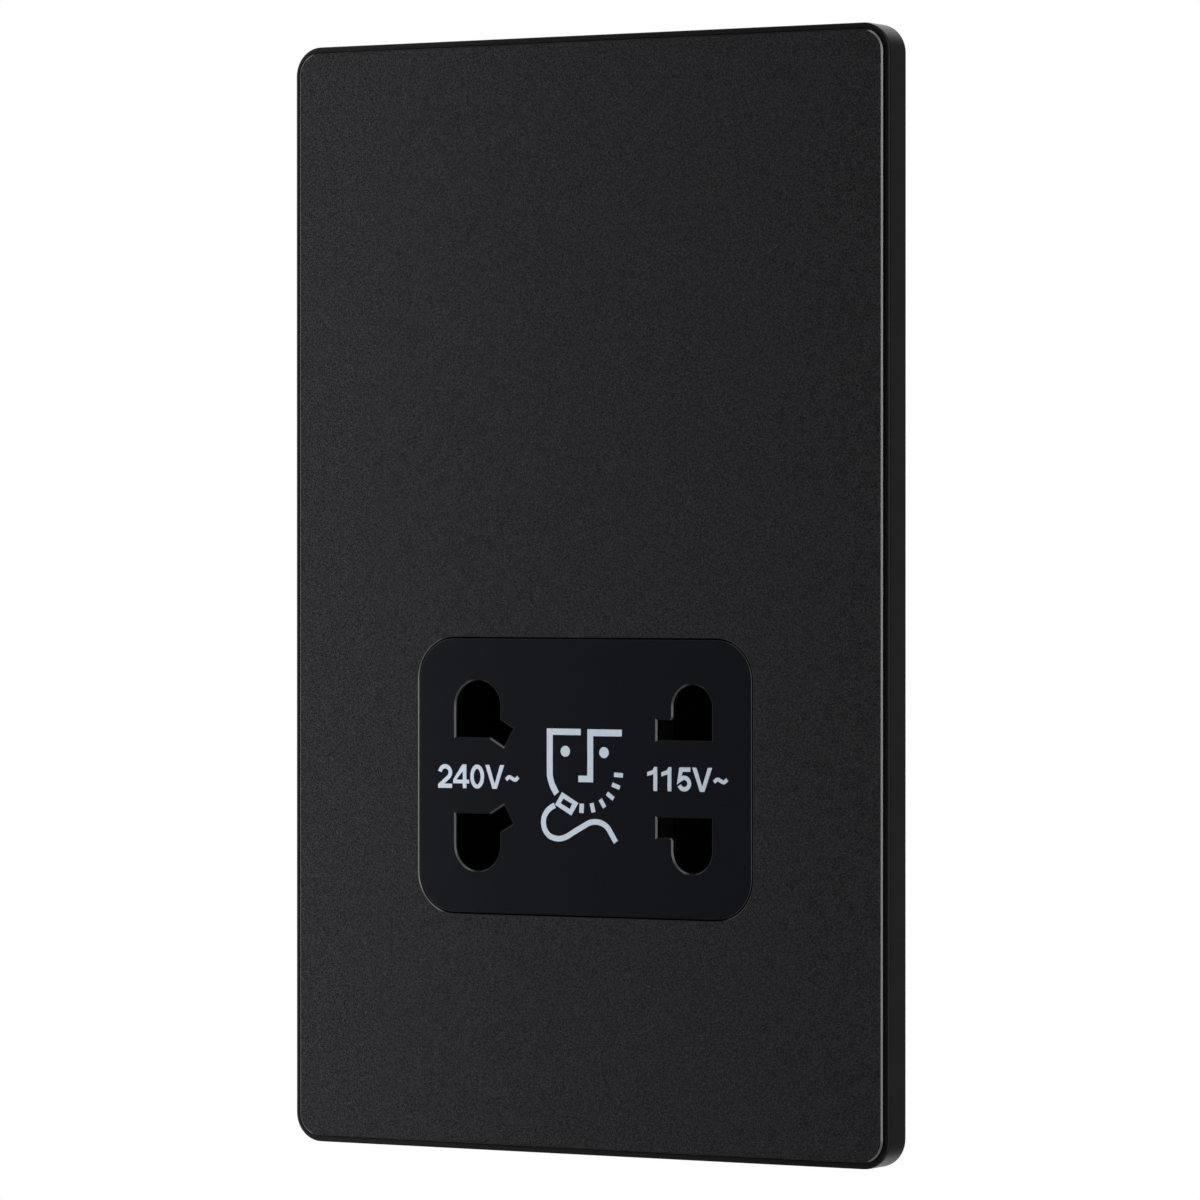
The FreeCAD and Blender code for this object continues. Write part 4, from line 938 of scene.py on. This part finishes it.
class SHAVER_OT_wind_springs(ShaverPiece, bpy.types.Operator):
    """Wind the two return springs of the shutters"""

    bl_idname = "shaver.wind_springs"
    bl_label = "Wind the return springs"

    def execute(self, context):
        steel = plated_metal("spring_steel", (0.62, 0.62, 0.64), 0.22)
        for outlet in ("240", "115"):
            low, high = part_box(f"spring_{outlet}")
            middle = (low + high) / 2
            fixed, moving = sorted((low.x, high.x), key=abs)
            joint = f"shutter_{outlet}_slide"
            travel = next(one["range_m"][1] for one in frame["joints"] if one["name"] == joint)
            spring = coil_spring(
                f"return_spring_{outlet}", moving, fixed, (middle.y, middle.z),
                (high.z - low.z) / 2, self.sizes.wire, self.sizes.turns, steel,
            )
            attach(spring, "unit")
            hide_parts(f"spring_{outlet}")
            length = abs(moving - fixed)
            (length - travel) / length
            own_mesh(spring)
        return {"FINISHED"}


class SHAVER_OT_set_stage(bpy.types.Operator):
    """Set the floor, the lamps, the white surround and the camera"""

    bl_idname = "shaver.set_stage"
    bl_label = "Set the stage"

    def execute(self, context):
        settings = context.scene.shaver_stage
        self.set_floor(tuple(settings.floor))
        self.set_surround(settings.fill)
        for lamp in LAMPS:
            self.set_lamp(*lamp)
        self.set_camera(context.scene, settings)
        context.scene.view_settings.view_transform = "Standard"
        return {"FINISHED"}

    def set_floor(self, colour):
        """A round pale floor below the plate, which hangs on its fixing holes."""
        mesh = bmesh.new()
        bmesh.ops.create_circle(mesh, cap_ends=True, segments=96, radius=FLOOR_RADIUS)
        data = bpy.data.meshes.new("floor")
        mesh.to_mesh(data)
        mesh.free()
        finish = Finish("floor_paint")
        cloud = finish.noise(0.15, 2.0)
        data.materials.append(
            finish.surface(
                Base_Color=finish.mix(cloud, shade(colour, 0.99), shade(colour, 1.01)),
                Roughness=0.7 + cloud * 0.1,
            )
        )
        white = finish.node("ShaderNodeEmission", {}, {"Color": (1, 1, 1), "Strength": 1.0})
        paint = Value(finish, finish.shader.outputs[0])
        paler = finish.node("ShaderNodeMixShader", {}, {0: finish.seen() * 0.5, 1: paint, 2: white})
        finish.feed(finish.tree.nodes["Material Output"].inputs["Surface"], paler)
        floor = bpy.data.objects.new("floor", data)
        floor.location.z = FLOOR_LEVEL
        bpy.context.scene.collection.objects.link(floor)

    def set_surround(self, fill):
        """White where it is seen or mirrored, and a soft grey light elsewhere."""
        surround = Surround("surround")
        grey, white = (
            surround.node("ShaderNodeBackground", {}, {"Color": (1, 1, 1), "Strength": strength})
            for strength in (fill, 1.0)
        )
        either = surround.node("ShaderNodeMixShader", {}, {0: surround.seen(), 1: grey, 2: white})
        surround.feed(surround.tree.nodes["World Output"].inputs["Surface"], either)
        bpy.context.scene.world = surround.world

    def set_lamp(self, name, spot, width, height, power):
        lamp = bpy.data.lights.new(name, "AREA")
        lamp.shape = "RECTANGLE"
        lamp.size, lamp.size_y = width, height
        lamp.energy = power
        holder = bpy.data.objects.new(name, lamp)
        holder.location = spot
        holder.rotation_euler = (-Vector(spot)).to_track_quat("-Z", "Y").to_euler()
        bpy.context.scene.collection.objects.link(holder)

    def set_camera(self, scene, settings):
        camera = bpy.data.cameras.new("camera")
        camera.lens, camera.sensor_width = settings.lens, 36
        camera.clip_start = 0.01
        holder = bpy.data.objects.new("camera", camera)
        holder.rotation_euler = (pi / 2 - settings.pitch, 0, settings.yaw)
        holder.location = settings.spot
        scene.collection.objects.link(holder)
        scene.camera = holder


class SHAVER_PT_tools(bpy.types.Panel):
    """Lists the steps for the shaver socket"""

    bl_idname = "SHAVER_PT_tools"
    bl_label = "Shaver socket"
    bl_space_type = "VIEW_3D"
    bl_region_type = "UI"
    bl_category = "Shaver socket"

    def draw(self, context):
        for step in STEPS:
            self.layout.operator(step.bl_idname)
        for group in ("shaver_colours", "shaver_sizes", "shaver_stage"):
            settings = getattr(context.scene, group)
            box = self.layout.box()
            for name in type(settings).__annotations__:
                box.prop(settings, name)


SETTINGS = {
    "shaver_colours": SocketColours,
    "shaver_sizes": SocketSizes,
    "shaver_stage": StageSettings,
}
STEPS = (
    SHAVER_OT_finish_plate,
    SHAVER_OT_finish_socket,
    SHAVER_OT_finish_metalwork,
    SHAVER_OT_finish_case,
    SHAVER_OT_finish_transformer,
    SHAVER_OT_print_face,
    SHAVER_OT_wind_springs,
    SHAVER_OT_set_stage,
)


def register():
    for group in (*SETTINGS.values(), *STEPS, SHAVER_PT_tools):
        bpy.utils.register_class(group)
    for name, group in SETTINGS.items():
        setattr(bpy.types.Scene, name, bpy.props.PointerProperty(type=group))


def unregister():
    for name in SETTINGS:
        delattr(bpy.types.Scene, name)
    for group in (SHAVER_PT_tools, *reversed(STEPS), *reversed(SETTINGS.values())):
        bpy.utils.unregister_class(group)


def main():
    register()
    for step in STEPS:
        getattr(bpy.ops.shaver, step.bl_idname.split(".")[1])()


if __name__ == "__main__":
    main()
